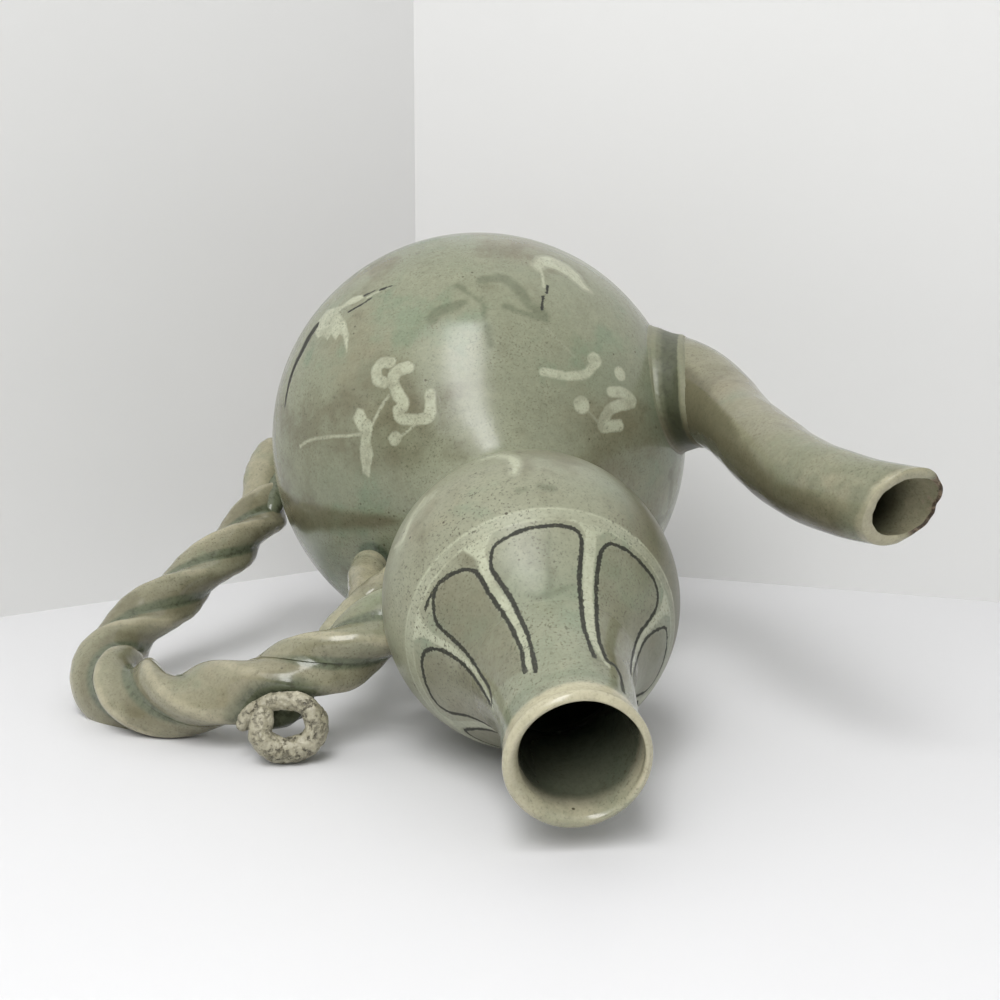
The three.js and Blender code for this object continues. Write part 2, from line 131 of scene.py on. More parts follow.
LEAF = [
    (125.9, 111.2), (129.1, 111.4), (130.7, 113.2), (131.5, 115.1), (137.1, 116.3), (144.9, 118.4), (145.5, 119.6),
    (136.6, 118.9), (132.3, 117.1), (126.6, 115.9), (126.2, 113.8), (125.2, 112.4),
]
DROP_1, DROP_LINE = (124.7, 121.1), [(123, 121.6), (118.3, 122.1), (110.8, 122.2)]
WISP = [(148.5, 97.2), (144.7, 101), (140.3, 106.8), (134.8, 112.9), (131.5, 115.2)]
DROP_2, BAND_2 = (34.7, 110.4), [(52.4, 118), (42.3, 117), (35.7, 114.3), (34.3, 111.4)]
DROP_3 = (24.1, 108.6)
CLOUD_2 = [(23.6, 113.9), (19, 111.6), (14.2, 111), (18.1, 114.9), (20.2, 117.7), (19.3, 119.7), (18, 120.7), (12.5, 117.5)]
DROP_4, LINE_4 = (32.1, 120.5), [(30.5, 120.7), (21.9, 120.8)]
LINE_2 = [(53.6, 108), (48.6, 110.3), (42.1, 112.3)]
CRANE_2 = [
    (57.7, 83.9), (55.9, 77.4), (52.8, 74.5), (50.4, 74.6), (47.2, 76.4), (44.4, 79.9), (43.1, 84.6), (40.8, 87.1),
    (42.9, 87.4), (46, 85.5), (47.7, 84), (51, 82.5), (54.3, 82.5), (56.5, 86.2),
]
CRANE_2_NECK = [(56, 84.3), (55.4, 88.8), (55.1, 94.1)]
CRANE_2_BLACK = [[(54, 93.1), (54.3, 96.2)], [(55.4, 98.1), (55.6, 102.6)]]
# painted reflection and shade: a darker band low on the lower bulb, where the glaze would reflect the dark room and the
# handle's shaded underside
PAINTED_DARK_REFLECTION = [
    (167.5, 76), (164.7, 84), (163.2, 96), (161.4, 108), (160.3, 117.5), (158.5, 124.5), (160.5, 129.5), (168.6, 126.5), (170.9, 122.2),
    (174.5, 111.3), (176.6, 100), (177.9, 89.5), (178.0, 84), (175, 76), (171, 72),
]
DIM = [(146, 104), (128, 101), (106, 103), (100, 114), (104, 128), (134, 128), (150, 118)]
DIM_R = [(36, 124), (22, 113), (4, 98), (-12, 96), (-12, 122), (6, 130)]
BRUSH = [
    ([(89.5, 103.5), (86.8, 102.1), (82.3, 101.7), (78.5, 100.9)], 1.9), ([(79.6, 94.4), (76.6, 98.8), (74.4, 101)], 1.5),
    ([(72.2, 93.5), (67, 93), (63.1, 96.2), (59.9, 101.4), (55.3, 104.2)], 2.6), ([(73.4, 102.5), (73.6, 108.1), (72.9, 113.6)], 1.3),
    ([(67, 103.1), (62.6, 104.5), (54.3, 105.3)], 1.7),
]


# ------------------------------------------------------------------ helpers
def spline(points, n):
    """Points evenly spaced on a smooth curve through the given ones."""
    p = np.array(points, float)
    t = np.concatenate([[0], np.cumsum(np.sqrt(np.linalg.norm(np.diff(p, axis=0), axis=1)))])
    m = len(p)
    tang = np.zeros_like(p)
    for i in range(m):
        if i == 0:
            tang[i] = (p[1] - p[0]) / (t[1] - t[0])
        elif i == m - 1:
            tang[i] = (p[-1] - p[-2]) / (t[-1] - t[-2])
        else:
            a, b = t[i] - t[i - 1], t[i + 1] - t[i]
            tang[i] = ((p[i] - p[i - 1]) / a * b + (p[i + 1] - p[i]) / b * a) / (a + b)
    u = np.linspace(t[0], t[-1], 3000)
    k = np.clip(np.searchsorted(t, u, side="right") - 1, 0, m - 2)
    h = (t[k + 1] - t[k])[:, None]
    s = ((u - t[k]) / (t[k + 1] - t[k]))[:, None]
    q = ((2 * s**3 - 3 * s**2 + 1) * p[k] + (s**3 - 2 * s**2 + s) * h * tang[k] + (-2 * s**3 + 3 * s**2) * p[k + 1] + (s**3 - s**2) * h * tang[k + 1])
    d = np.concatenate([[0], np.cumsum(np.linalg.norm(np.diff(q[:, : min(3, q.shape[1])], axis=0), axis=1))])
    w = np.linspace(0, d[-1], n)
    return np.stack([np.interp(w, d, q[:, j]) for j in range(q.shape[1])], 1)


def smooth(x, lo, hi):
    t = np.clip((np.asarray(x, float) - lo) / (hi - lo), 0, 1)
    return t * t * (3 - 2 * t)


def lumps(p, size, seed=0.0):
    """A soft repeatable unevenness, about -1 to 1, over points in millimetres."""
    x, y, z = (np.asarray(p)[..., i] * 6.2832 / size for i in range(3))
    a = np.sin(x + 1.3 * np.sin(0.7 * y + seed) + seed) * np.cos(0.8 * z + 1.1 * np.sin(0.6 * x + 2 * seed))
    b = np.sin(1.7 * y + 0.9 * z + 1.2 * np.sin(1.1 * x) + 3.1 * seed)
    c = np.sin(2.3 * z - 1.4 * x + 1.5 * np.sin(0.9 * y + seed))
    return (a + 0.7 * b + 0.5 * c) / 1.6


def mesh_object(name, verts, faces):
    """A mesh from points in millimetres and faces, given as an array of quads and a list of other polygons."""
    quads, rest = faces
    me = bpy.data.meshes.new(name)
    v = np.ascontiguousarray(np.asarray(verts, np.float64) * MM, np.float32)
    loops = np.concatenate([np.asarray(quads, np.int32).reshape(-1)] + [np.asarray(f, np.int32) for f in rest])
    sizes = np.concatenate([np.full(len(quads), 4, np.int32), np.array([len(f) for f in rest], np.int32)])
    me.vertices.add(len(v))
    me.vertices.foreach_set("co", v.reshape(-1))
    me.loops.add(len(loops))
    me.loops.foreach_set("vertex_index", loops)
    me.polygons.add(len(sizes))
    me.polygons.foreach_set("loop_start", np.concatenate([[0], np.cumsum(sizes)[:-1]]).astype(np.int32))
    me.update(calc_edges=True)
    me.polygons.foreach_set("use_smooth", np.ones(len(sizes), bool))
    me.validate()
    ob = bpy.data.objects.new(name, me)
    scene.collection.objects.link(ob)
    return ob


def skin(rings, loop=False, flip=False):
    """Vertices and faces over rings of equally many points, closed at the ends or into a ring."""
    rings = np.asarray(rings, float)
    n, m = rings.shape[:2]
    v = rings.reshape(-1, 3)
    ii, jj = np.meshgrid(np.arange(n if loop else n - 1), np.arange(m), indexing="ij")
    a = ii * m + jj
    b = ii * m + (jj + 1) % m
    c = ((ii + 1) % n) * m + (jj + 1) % m
    d = ((ii + 1) % n) * m + jj
    q = np.stack([a, d, c, b] if flip else [a, b, c, d], -1).reshape(-1, 4)
    rest = []
    if not loop:
        c0, c1 = len(v), len(v) + 1
        v = np.vstack([v, rings[0].mean(0), rings[-1].mean(0)])
        for k in range(m):
            rest.append([c0, (k + 1) % m, k])
            rest.append([c1, (n - 1) * m + k, (n - 1) * m + (k + 1) % m])
    return v, (q, rest)


def attribute(ob, name, values, fill=0.0):
    a = ob.data.attributes.new(name, "FLOAT", "POINT")
    v = np.full(len(ob.data.vertices), fill, np.float32)
    values = np.asarray(values, np.float32).reshape(-1)
    v[: len(values)] = values
    a.data.foreach_set("value", v)


OUT = spline(OUTLINE, 2400)
OUT[:, 0] = np.minimum(OUT[:, 0], 69.38)
ARC = np.concatenate([[0], np.cumsum(np.linalg.norm(np.diff(OUT, axis=0), axis=1))])
TAN = np.gradient(OUT, axis=0)
TAN /= np.linalg.norm(TAN, axis=1)[:, None]


def radius_at(z):
    return np.interp(z, OUT[:, 1], OUT[:, 0])


def arc_at(z):
    return np.interp(z, OUT[:, 1], ARC)


def keep_out(p, depth=1.3):
    """Moves points that lie deep inside the body out to just under its surface."""
    p = np.array(p, float)
    r = np.hypot(p[..., 0], p[..., 1])
    z = p[..., 2]
    slope = np.interp(z, OUT[:, 1], TAN[:, 1])
    goal = radius_at(z) - depth / np.maximum(0.45, slope)
    inside = (r < goal) & (z > 4.6) & (z < 258) & (r > 1)
    f = np.where(inside, goal / np.maximum(r, 1e-6), 1.0)
    p[..., 0] *= f
    p[..., 1] *= f
    return p


def track(points, n):
    p = np.array(points, float)
    q = spline(p, n)
    t = np.gradient(q[:, :2], axis=0)
    t /= np.linalg.norm(t, axis=1)[:, None]
    s = np.concatenate([[0], np.cumsum(np.linalg.norm(np.diff(q[:, :2], axis=0), axis=1))])
    p3 = np.stack([q[:, 0], np.zeros(n), q[:, 1]], 1)
    n3 = np.stack([-t[:, 1], np.zeros(n), t[:, 0]], 1)
    t3 = np.stack([t[:, 0], np.zeros(n), t[:, 1]], 1)
    return q, p3, t3, n3, s


Y = np.array([0.0, 1.0, 0.0])


def sweep(path, sides, up=(0.3, 1.0, 0.2)):
    """Rings round a free centre line of (x, y, z, radius), carried along without twist."""
    c, r = path[:, :3], path[:, 3]
    t = np.gradient(c, axis=0)
    t /= np.linalg.norm(t, axis=1)[:, None]
    u = np.array(up, float)
    a = np.linspace(0, 2 * np.pi, sides, endpoint=False)
    rings = []
    for i in range(len(c)):
        u = u - t[i] * u.dot(t[i])
        u /= np.linalg.norm(u)
        w = np.cross(t[i], u)
        rings.append(c[i] + r[i] * (np.cos(a)[:, None] * u + np.sin(a)[:, None] * w))
    return np.array(rings)


def near_path(p, path, radii, reach):
    """Smallest distance from each point to a swept roll's surface."""
    best = np.full(len(p), 99.0)
    lo, hi = path.min(0) - 20, path.max(0) + 20
    k = np.nonzero(np.all((p > lo) & (p < hi), axis=1))[0]
    for c, r in zip(path, radii):
        d = np.linalg.norm(p[k] - c, axis=1) - r
        best[k] = np.minimum(best[k], d)
    return smooth(best, reach, 0.0)


# --------------------------------------------------------- inlay distances
class Field:
    """Distances from the points of a body's skin to shapes drawn on it."""

    def __init__(self, pts):
        self.az = np.degrees(np.arctan2(pts[:, 1], pts[:, 0]))
        self.r = np.hypot(pts[:, 0], pts[:, 1])
        self.s = arc_at(pts[:, 2])
        self.white = np.full(len(pts), 9.0)
        self.black = np.full(len(pts), 9.0)
        self.faint = np.full(len(pts), 9.0)
        self.stain_and_painted_shade = np.full(len(pts), 9.0)
        self.tone = np.full(len(pts), 9.0)
        self.pale = np.full(len(pts), 9.0)
        self.painted_reflection_shade = np.full(len(pts), 9.0)
        self.dim = np.full(len(pts), 9.0)

    def local(self, pts, turn):
        p = np.array(pts, float)
        p[:, 0] += turn
        a0 = p[:, 0].mean()
        u = np.radians(p[:, 0] - a0) * radius_at(p[:, 1])
        v = arc_at(p[:, 1])
        q = np.stack([u, v], 1)
        du = np.radians((self.az - a0 + 180) % 360 - 180)
        k = np.nonzero((self.s > v.min() - 7) & (self.s < v.max() + 7) & (du * self.r > u.min() - 9) & (du * self.r < u.max() + 9))[0]
        return q, k, np.stack([du[k] * self.r[k], self.s[k]], 1)

    def put(self, name, k, d):
        f = getattr(self, name)
        f[k] = np.minimum(f[k], d)

    def stroke(self, name, pts, width, turn=0.0, taper=None, curve=True):
        p = spline(pts, max(24, 8 * len(pts))) if curve and len(pts) > 2 else np.array(pts, float)
        q, k, w = self.local(p, turn)
        best = np.full(len(k), 99.0)
        n = len(q) - 1
        for i in range(n):
            a, b = q[i], q[i + 1]
            ab = b - a
            t = np.clip(((w - a) @ ab) / max(1e-9, ab @ ab), 0, 1)
            half = width / 2
            if taper:
                f = (i + t) / n
                half = np.interp(f, [x for x, _ in taper], [v for _, v in taper]) * width / 2
            best = np.minimum(best, np.linalg.norm(w - a - t[:, None] * ab, axis=1) - half)
        self.put(name, k, best)

    def area(self, name, pts, grow=0.0, turn=0.0):
        q, k, w = self.local(pts, turn)
        best = np.full(len(k), 99.0)
        inside = np.zeros(len(k), bool)
        for i in range(len(q)):
            a, b = q[i], q[(i + 1) % len(q)]
            ab = b - a
            t = np.clip(((w - a) @ ab) / max(1e-9, ab @ ab), 0, 1)
            best = np.minimum(best, np.linalg.norm(w - a - t[:, None] * ab, axis=1))
            if abs(ab[1]) > 1e-9:
                cross = (w[:, 1] > min(a[1], b[1])) & (w[:, 1] <= max(a[1], b[1])) & (w[:, 0] < a[0] + (w[:, 1] - a[1]) * ab[0] / ab[1])
                inside ^= cross
        self.put(name, k, np.where(inside, -best, best) - grow)

    def drop(self, name, at, r, turn=0.0):
        q, k, w = self.local([at, (at[0] + 0.01, at[1])], turn)
        self.put(name, k, np.linalg.norm(w - q[0], axis=1) - r)

    def ring(self, name, z, width):
        self.put(name, np.arange(len(self.s)), np.abs(self.s - arc_at(z)) - width / 2)


# ---------------------------------------------------------------- materials
def new_material(name):
    m = bpy.data.materials.new(name)
    m.use_nodes = True
    nt = m.node_tree
    nt.nodes.clear()
    out = nt.nodes.new("ShaderNodeOutputMaterial")
    bsdf = nt.nodes.new("ShaderNodeBsdfPrincipled")
    nt.links.new(bsdf.outputs[0], out.inputs[0])
    return m, nt, bsdf


class N:
    """A short way to write node trees."""

    def __init__(self, nt):
        self.nt = nt

    def node(self, kind, **kw):
        n = self.nt.nodes.new(kind)
        for k, v in kw.items():
            setattr(n, k, v)
        return n

    def put(self, sock, v):
        if isinstance(v, bpy.types.NodeSocket):
            self.nt.links.new(v, sock)
        elif v is not None:
            sock.default_value = v

    def math(self, op, a, b=None, c=None, clamp=False):
        n = self.node("ShaderNodeMath", operation=op, use_clamp=clamp)
        for s, v in zip(n.inputs, (a, b, c)):
            self.put(s, v)
        return n.outputs[0]

    def mul(self, a, b):
        return self.math("MULTIPLY", a, b)

    def mix(self, f, a, b, blend="MIX"):
        n = self.node("ShaderNodeMix", data_type="RGBA", blend_type=blend)
        self.put(n.inputs[0], f)
        self.put(n.inputs[6], a)
        self.put(n.inputs[7], b)
        return n.outputs[2]

    def ramp(self, v, lo, hi, a=0.0, b=1.0, smooth=True):
        n = self.node("ShaderNodeMapRange", interpolation_type="SMOOTHSTEP" if smooth else "LINEAR")
        for s, x in zip(n.inputs[:5], (v, lo, hi, a, b)):
            self.put(s, x)
        return n.outputs[0]

    def noise(self, vec, scale, detail=4.0, rough=0.5, out=0):
        n = self.node("ShaderNodeTexNoise")
        self.put(n.inputs["Vector"], vec)
        n.inputs["Scale"].default_value = scale
        n.inputs["Detail"].default_value = detail
        n.inputs["Roughness"].default_value = rough
        return n.outputs[out]

    def voronoi(self, vec, scale, feature="F1", out=0, rand=1.0):
        n = self.node("ShaderNodeTexVoronoi", feature=feature)
        self.put(n.inputs["Vector"], vec)
        n.inputs["Scale"].default_value = scale
        n.inputs["Randomness"].default_value = rand
        return n.outputs[out]

    def attr(self, name):
        n = self.node("ShaderNodeAttribute", attribute_type="GEOMETRY", attribute_name=name)
        return n.outputs["Fac"]


def rgba(c):
    return (c[0], c[1], c[2], 1.0)


GREY = (0.222, 0.236, 0.164)
GREEN = (0.165, 0.208, 0.142)
BROWN = (0.205, 0.188, 0.122)
POOL = (0.110, 0.148, 0.094)
CREAM = (0.400, 0.378, 0.268)
WHITE = (0.405, 0.425, 0.320)
UMBER = (0.120, 0.111, 0.067)


def glaze(name, base=GREY, green=GREEN, brown=BROWN, cream=CREAM, inlay=False, speck=1.0, rough=0.10, mottle=1.0, lift=0.35, deep=POOL, dusky=0.76):
    m, nt, bsdf = new_material(name)
    k = N(nt)
    pos = k.node("ShaderNodeTexCoord").outputs["Object"]
    big = k.noise(pos, 13.0, 3.0, 0.55)
    other = k.noise(pos, 21.0, 4.0, 0.6)
    mid = k.noise(pos, 75.0, 5.0, 0.62)
    fine = k.noise(pos, 520.0, 4.0, 0.65)
    tiny = k.noise(pos, 1500.0, 3.0, 0.6)
    col = k.mix(k.mul(k.ramp(big, 0.42, 0.68), 0.75), rgba(base), rgba(green))
    col = k.mix(k.mul(k.ramp(other, 0.52, 0.72), 0.55 * mottle), col, rgba(brown))
    patch = k.noise(pos, 44.0, 4.0, 0.6)
    col = k.mix(k.mul(k.ramp(patch, 0.50, 0.68), 0.38 * mottle), col, rgba(UMBER))
    col = k.mix(k.mul(k.ramp(patch, 0.46, 0.32), 0.36 * mottle), col, rgba([green[0] * 0.95, green[1] * 1.04, green[2]]))
    light = [min(1.0, c * 1.18) for c in base]
    col = k.mix(k.mul(k.ramp(mid, 0.48, 0.74), 0.40 * mottle), col, rgba(light))
    # the brown attribute carries the glaze's brown tone and painted shade: the reflection band, the shaded sides of the
    # upper bulb and lip, the undersides of spout and collar
    brown_and_painted_shade = k.math("ADD", k.attr("brown"), k.mul(k.math("SUBTRACT", mid, 0.5), 1.3))
    col = k.mix(k.mul(k.ramp(brown_and_painted_shade, 0.1, 1.1), dusky), col, rgba(UMBER))
    if inlay:
        wob = k.mul(k.math("SUBTRACT", fine, 0.5), 0.9)
        # real stains, and the painted shade stroke along the upper bulb's right limb
        stain_and_painted_shade = k.ramp(k.math("ADD", k.attr("stain_and_painted_shade"), k.mul(k.math("SUBTRACT", mid, 0.5), 5.0)), 1.0, -1.2)
        col = k.mix(k.mul(stain_and_painted_shade, 0.55), col, (0.100, 0.116, 0.072, 1))
        faint = k.ramp(k.math("ADD", k.attr("faint"), k.mul(wob, 1.2)), 0.55, -0.75)
        patch = k.ramp(mid, 0.34, 0.60, 0.35, 0.85)
        col = k.mix(k.mul(k.mul(faint, patch), 0.74), col, rgba([c * 0.86 for c in WHITE]))
        fw = k.ramp(k.math("ADD", k.attr("white"), k.mul(wob, 1.5)), 0.42, -0.50)
        thin = k.ramp(k.noise(pos, 170.0, 5.0, 0.65), 0.34, 0.60, 0.46, 0.94)
        col = k.mix(k.mul(fw, thin), col, rgba(WHITE))
        edge = k.math("ADD", k.attr("black"), k.mul(k.math("SUBTRACT", tiny, 0.5), 1.1))
        edge = k.math("ADD", edge, k.mul(k.math("SUBTRACT", fine, 0.5), 1.1))
        fb = k.ramp(edge, 0.20, -0.06)
        grit = k.ramp(fine, 0.30, 0.46, 0.84, 1.0)
        col = k.mix(k.mul(k.mul(fb, grit), 0.98), col, (0.014, 0.015, 0.009, 1))
    pool = k.math("ADD", k.attr("pool"), k.mul(k.math("SUBTRACT", mid, 0.5), 0.30))
    col = k.mix(k.mul(k.ramp(pool, 0.15, 0.95), 0.90), col, rgba(deep))
    grime = k.mul(k.ramp(fine, 0.52, 0.36), k.ramp(pool, 0.35, 0.95))
    col = k.mix(k.mul(grime, 0.55), col, (0.048, 0.050, 0.030, 1))
    crm = k.math("ADD", k.attr("cream"), k.mul(k.math("SUBTRACT", mid, 0.5), 1.1))
    col = k.mix(k.mul(k.ramp(crm, 0.25, 0.95), 0.92), col, rgba(cream))
    worn = k.math("ADD", k.attr("worn"), k.mul(k.math("SUBTRACT", fine, 0.5), 0.8))
    bare = k.ramp(worn, 0.45, 0.65)
    clay = k.mix(k.ramp(fine, 0.40, 0.62), (0.040, 0.026, 0.016, 1), (0.20, 0.155, 0.105, 1))
    col = k.mix(bare, col, clay)
    # painted shade inside the mouth and deep in the spout's bore (the inner attribute)
    col = k.mix(k.mul(k.attr("inner"), 0.86), col, (0.030, 0.036, 0.026, 1))
    # fine crazing: a net of hairlines a few millimetres apart, warped a little
    warp = k.node("ShaderNodeVectorMath", operation="ADD")
    sc = k.node("ShaderNodeVectorMath", operation="SCALE")
    k.put(sc.inputs[0], k.noise(pos, 90.0, 2.0, 0.5, out=1))
    sc.inputs["Scale"].default_value = 0.004
    k.put(warp.inputs[0], pos)
    k.put(warp.inputs[1], sc.outputs[0])
    net = k.voronoi(warp.outputs[0], 330.0, "DISTANCE_TO_EDGE")
    craze = k.mul(k.ramp(net, 0.0, 0.032, 1.0, 0.0), k.ramp(k.noise(pos, 28.0, 3.0), 0.44, 0.64))
    col = k.mix(k.mul(craze, 0.16), col, (0.16, 0.15, 0.085, 1))
    # iron specks, and the fine pepper of the clay under the glaze
    dots = k.voronoi(pos, 240.0, "F1")
    spot = k.mul(k.ramp(dots, 0.06, 0.12, 1.0, 0.0), k.ramp(k.noise(pos, 70.0, 2.0), 0.57, 0.61))
    col = k.mix(k.mul(spot, 0.70 * speck), col, (0.060, 0.050, 0.030, 1))
    pepper = k.mul(k.ramp(fine, 0.37, 0.28), k.ramp(k.noise(pos, 45.0, 3.0), 0.40, 0.66))
    dust = k.mul(k.ramp(tiny, 0.45, 0.33), k.ramp(k.noise(pos, 33.0, 4.0, 0.6), 0.38, 0.62, 0.25, 1.0))
    pepper = k.math("MAXIMUM", pepper, dust)
    pepper = k.mul(pepper, k.ramp(crm, 0.25, 0.95, 1.0, 0.35))
    col = k.mix(k.mul(pepper, 0.50 * speck), col, (0.082, 0.078, 0.048, 1))
    grain = k.ramp(k.math("ADD", k.mul(fine, 0.6), k.mul(tiny, 0.4)), 0.32, 0.68, 0.87, 1.11, smooth=False)
    col = k.mix(1.0, col, (1.0, 0.988, 0.95, 1), "MULTIPLY")
    gr = k.node("ShaderNodeVectorMath", operation="SCALE")
    k.put(gr.inputs[0], col)
    k.put(gr.inputs["Scale"], grain)
    nt.links.new(gr.outputs[0], bsdf.inputs["Base Color"])
    rv = k.ramp(k.math("ADD", mid, k.mul(craze, 0.25)), 0.3, 0.9, rough, rough + 0.14, smooth=False)
    rv = k.math("ADD", rv, k.mul(bare, 0.5), clamp=True)
    if inlay:
        rv = k.math("ADD", rv, k.mul(fb, 0.35), clamp=True)
    nt.links.new(rv, bsdf.inputs["Roughness"])
    bsdf.inputs["IOR"].default_value = 1.48
    h = k.math("ADD", k.mul(k.noise(pos, 36.0, 3.0, 0.5), 1.0), k.mul(fine, 0.05))
    h = k.math("ADD", h, k.mul(k.noise(pos, 130.0, 3.0, 0.5), 0.16))
    h = k.math("SUBTRACT", h, k.mul(craze, 0.04))
    h = k.math("SUBTRACT", h, k.mul(spot, 0.10))
    h = k.math("SUBTRACT", h, k.mul(k.mul(bare, fine), 0.5))
    if inlay:
        h = k.math("ADD", h, k.mul(fw, 0.10))
        h = k.math("SUBTRACT", h, k.mul(fb, 0.16))
    bump = k.node("ShaderNodeBump")
    bump.inputs["Strength"].default_value = lift
    bump.inputs["Distance"].default_value = 0.0008
    k.put(bump.inputs["Height"], h)
    nt.links.new(bump.outputs[0], bsdf.inputs["Normal"])
    return m


UPPER = ((0.245, 0.254, 0.182), (0.190, 0.228, 0.162), (0.235, 0.215, 0.146))
mat_lower = glaze("celadon_lower", inlay=True, rough=0.15, mottle=1.5, dusky=0.84)
mat_upper = glaze("celadon_upper", *UPPER, inlay=True, mottle=1.6, speck=1.9, rough=0.31)
mat_neck = glaze("celadon_neck", *UPPER, (0.468, 0.440, 0.320), inlay=True, mottle=1.1, speck=1.3)
mat_spout = glaze("celadon_spout", (0.226, 0.218, 0.147), (0.182, 0.197, 0.133), (0.225, 0.195, 0.124), dusky=0.92, mottle=1.3)
mat_collar = glaze("celadon_collar", (0.195, 0.196, 0.130), (0.155, 0.178, 0.118), (0.190, 0.166, 0.106), deep=(0.064, 0.072, 0.043), rough=0.34, dusky=0.9)
mat_handle = glaze("celadon_handle", (0.264, 0.252, 0.174), (0.208, 0.224, 0.154), (0.240, 0.206, 0.138), (0.405, 0.378, 0.272), lift=0.55, deep=(0.104, 0.124, 0.080), mottle=1.6)


def rough_glaze(name):
    """Thin, dry glaze over a lumpy roll: cream with dark pits."""
    m, nt, bsdf = new_material(name)
    k = N(nt)
    pos = k.node("ShaderNodeTexCoord").outputs["Object"]
    a = k.noise(pos, 120.0, 5.0, 0.65)
    b = k.noise(pos, 420.0, 5.0, 0.7)
    c = k.noise(pos, 900.0, 3.0, 0.6)
    col = k.mix(k.ramp(a, 0.38, 0.64), (0.300, 0.280, 0.196, 1), (0.410, 0.384, 0.284, 1))
    col = k.mix(k.mul(k.ramp(b, 0.52, 0.68), 0.4), col, (0.50, 0.475, 0.375, 1))
    pits = k.mul(k.mul(k.ramp(b, 0.485, 0.405), k.ramp(c, 0.64, 0.44)), k.ramp(k.noise(pos, 150.0, 3.0, 0.6), 0.46, 0.60, 0.40, 1.0))
    col = k.mix(k.mul(k.ramp(k.noise(pos, 260.0, 4.0, 0.65), 0.48, 0.66), 0.50), col, (0.220, 0.198, 0.128, 1))
    col = k.mix(k.mul(k.ramp(c, 0.56, 0.40), 0.22), col, (0.150, 0.135, 0.088, 1))
    col = k.mix(k.mul(pits, 0.9), col, (0.060, 0.052, 0.034, 1))
    col = k.mix(k.mul(k.ramp(k.attr("pool"), 0.2, 0.95), 0.9), col, rgba(POOL))
    nt.links.new(col, bsdf.inputs["Base Color"])
    nt.links.new(k.ramp(a, 0.3, 0.7, 0.22, 0.55), bsdf.inputs["Roughness"])
    h = k.math("SUBTRACT", k.math("ADD", k.mul(a, 0.8), k.mul(b, 0.35)), k.mul(pits, 0.6))
    bump = k.node("ShaderNodeBump")
    bump.inputs["Strength"].default_value = 1.0
    bump.inputs["Distance"].default_value = 0.0009
    k.put(bump.inputs["Height"], h)
    nt.links.new(bump.outputs[0], bsdf.inputs["Normal"])
    return m


def clay(name):
    """The bare fired clay of the foot."""
    m, nt, bsdf = new_material(name)
    k = N(nt)
    pos = k.node("ShaderNodeTexCoord").outputs["Object"]
    a = k.noise(pos, 60.0, 5.0, 0.6)
    b = k.noise(pos, 700.0, 4.0, 0.7)
    col = k.mix(k.ramp(a, 0.35, 0.66), (0.34, 0.25, 0.165, 1), (0.44, 0.355, 0.255, 1))
    col = k.mix(k.mul(k.ramp(b, 0.42, 0.32), 0.7), col, (0.11, 0.085, 0.055, 1))
    nt.links.new(col, bsdf.inputs["Base Color"])
    bsdf.inputs["Roughness"].default_value = 0.78
    bump = k.node("ShaderNodeBump")
    bump.inputs["Strength"].default_value = 0.5
    bump.inputs["Distance"].default_value = 0.0006
    k.put(bump.inputs["Height"], k.math("ADD", a, k.mul(b, 0.4)))
    nt.links.new(bump.outputs[0], bsdf.inputs["Normal"])
    return m


mat_loop = rough_glaze("rough_loop")
mat_clay = clay("bare_clay")


def finish_piece(ob, mat, node):
    ob.data.materials.append(mat)
    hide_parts(node)
    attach(ob, "root")


# ------------------------------------------------------ centre lines, dense
HQ, HP, HT, HN, HS = track(HANDLE, 640)
LEAF_1 = spline([(-53, -4.0, 178, 3.6), (-49.0, -4.4, 168, 4.2), (-46.2, -2.8, 157, 4.8), (-44.6, -1.2, 147, 5.1), (-43.8, -0.9, 138, 5.5),
                 (-43.4, -1.9, 129, 5.7), (-43.2, -3.3, 121.2, 5.6)], 150)
LEAF_2 = spline([(-58.4, -1.4, 165.9, 1.9), (-55.5, -1.3, 163, 3.7), (-49.5, -0.9, 157.5, 4.6), (-43, -0.3, 152, 5.0), (-36.5, 0.2, 147.5, 5.0), (-29, 0.5, 143.5, 4.8),
                 (-22, 0.6, 141, 4.4)], 140)
LOBE = spline([(-81.5, 1.2, 58, 4.6), (-79.0, 3.4, 48.5, 5.8), (-76.4, 6.8, 39.0, 6.7), (-72.6, 9.6, 31.0, 6.6), (-67.5, 11.4, 25.5, 5.4)], 110)
WEB = spline([(-66, 3.4, 24, 3.6), (-69.6, 4.2, 34, 4.4), (-72.0, 3.6, 44, 4.6), (-74.0, 2.2, 53, 4.2), (-76.5, 0.0, 61, 2.6)], 90)
SQ, SP, ST, SN, SS = track(SPOUT, 360)

# ------------------------------------------------------------ thrown bodies


def body_part(z0, z1, n, fine=None):
    """The outline between two heights, with more points where the decoration is."""
    z = np.linspace(0, 1, n)
    s0, s1 = arc_at(z0), arc_at(z1)
    if fine is not None:
        a, b, w = fine
        g = np.linspace(s0, s1, 4000)
        dens = np.where((g > arc_at(a)) & (g < arc_at(b)), w, 1.0)
        cum = np.concatenate([[0], np.cumsum((dens[1:] + dens[:-1]) / 2)])
        s = np.interp(z * cum[-1], cum, g)
    else:
        s = s0 + z * (s1 - s0)
    q = np.stack([np.interp(s, ARC, OUT[:, 0]), np.interp(s, ARC, OUT[:, 1])], 1)
    q[0, 1], q[-1, 1] = z0, z1
    return q


WALLS = WALL - (WALL - LIP_WALL) * smooth(OUT[:, 1], 228, 248)
IN = OUT + WALLS[:, None] * np.stack([-TAN[:, 1], TAN[:, 0]], 1)
IN_ORDER = np.argsort(IN[:, 1])


def inside(z0, z1, n):
    """The inner side of the wall between two heights."""
    z = np.linspace(z0, z1, n)
    return np.stack([np.interp(z, IN[IN_ORDER, 1], IN[IN_ORDER, 0]), z], 1)


def azimuths(a, b, inner, outer):
    """Angles round the pot, in steps of inner degrees between a and b and of outer elsewhere."""
    n1 = int(round((b - a) / inner))
    n2 = int(round((360 - (b - a)) / outer))
    return np.radians(np.concatenate([np.linspace(a, b, n1, endpoint=False), np.linspace(b, a + 360, n2, endpoint=False)]))


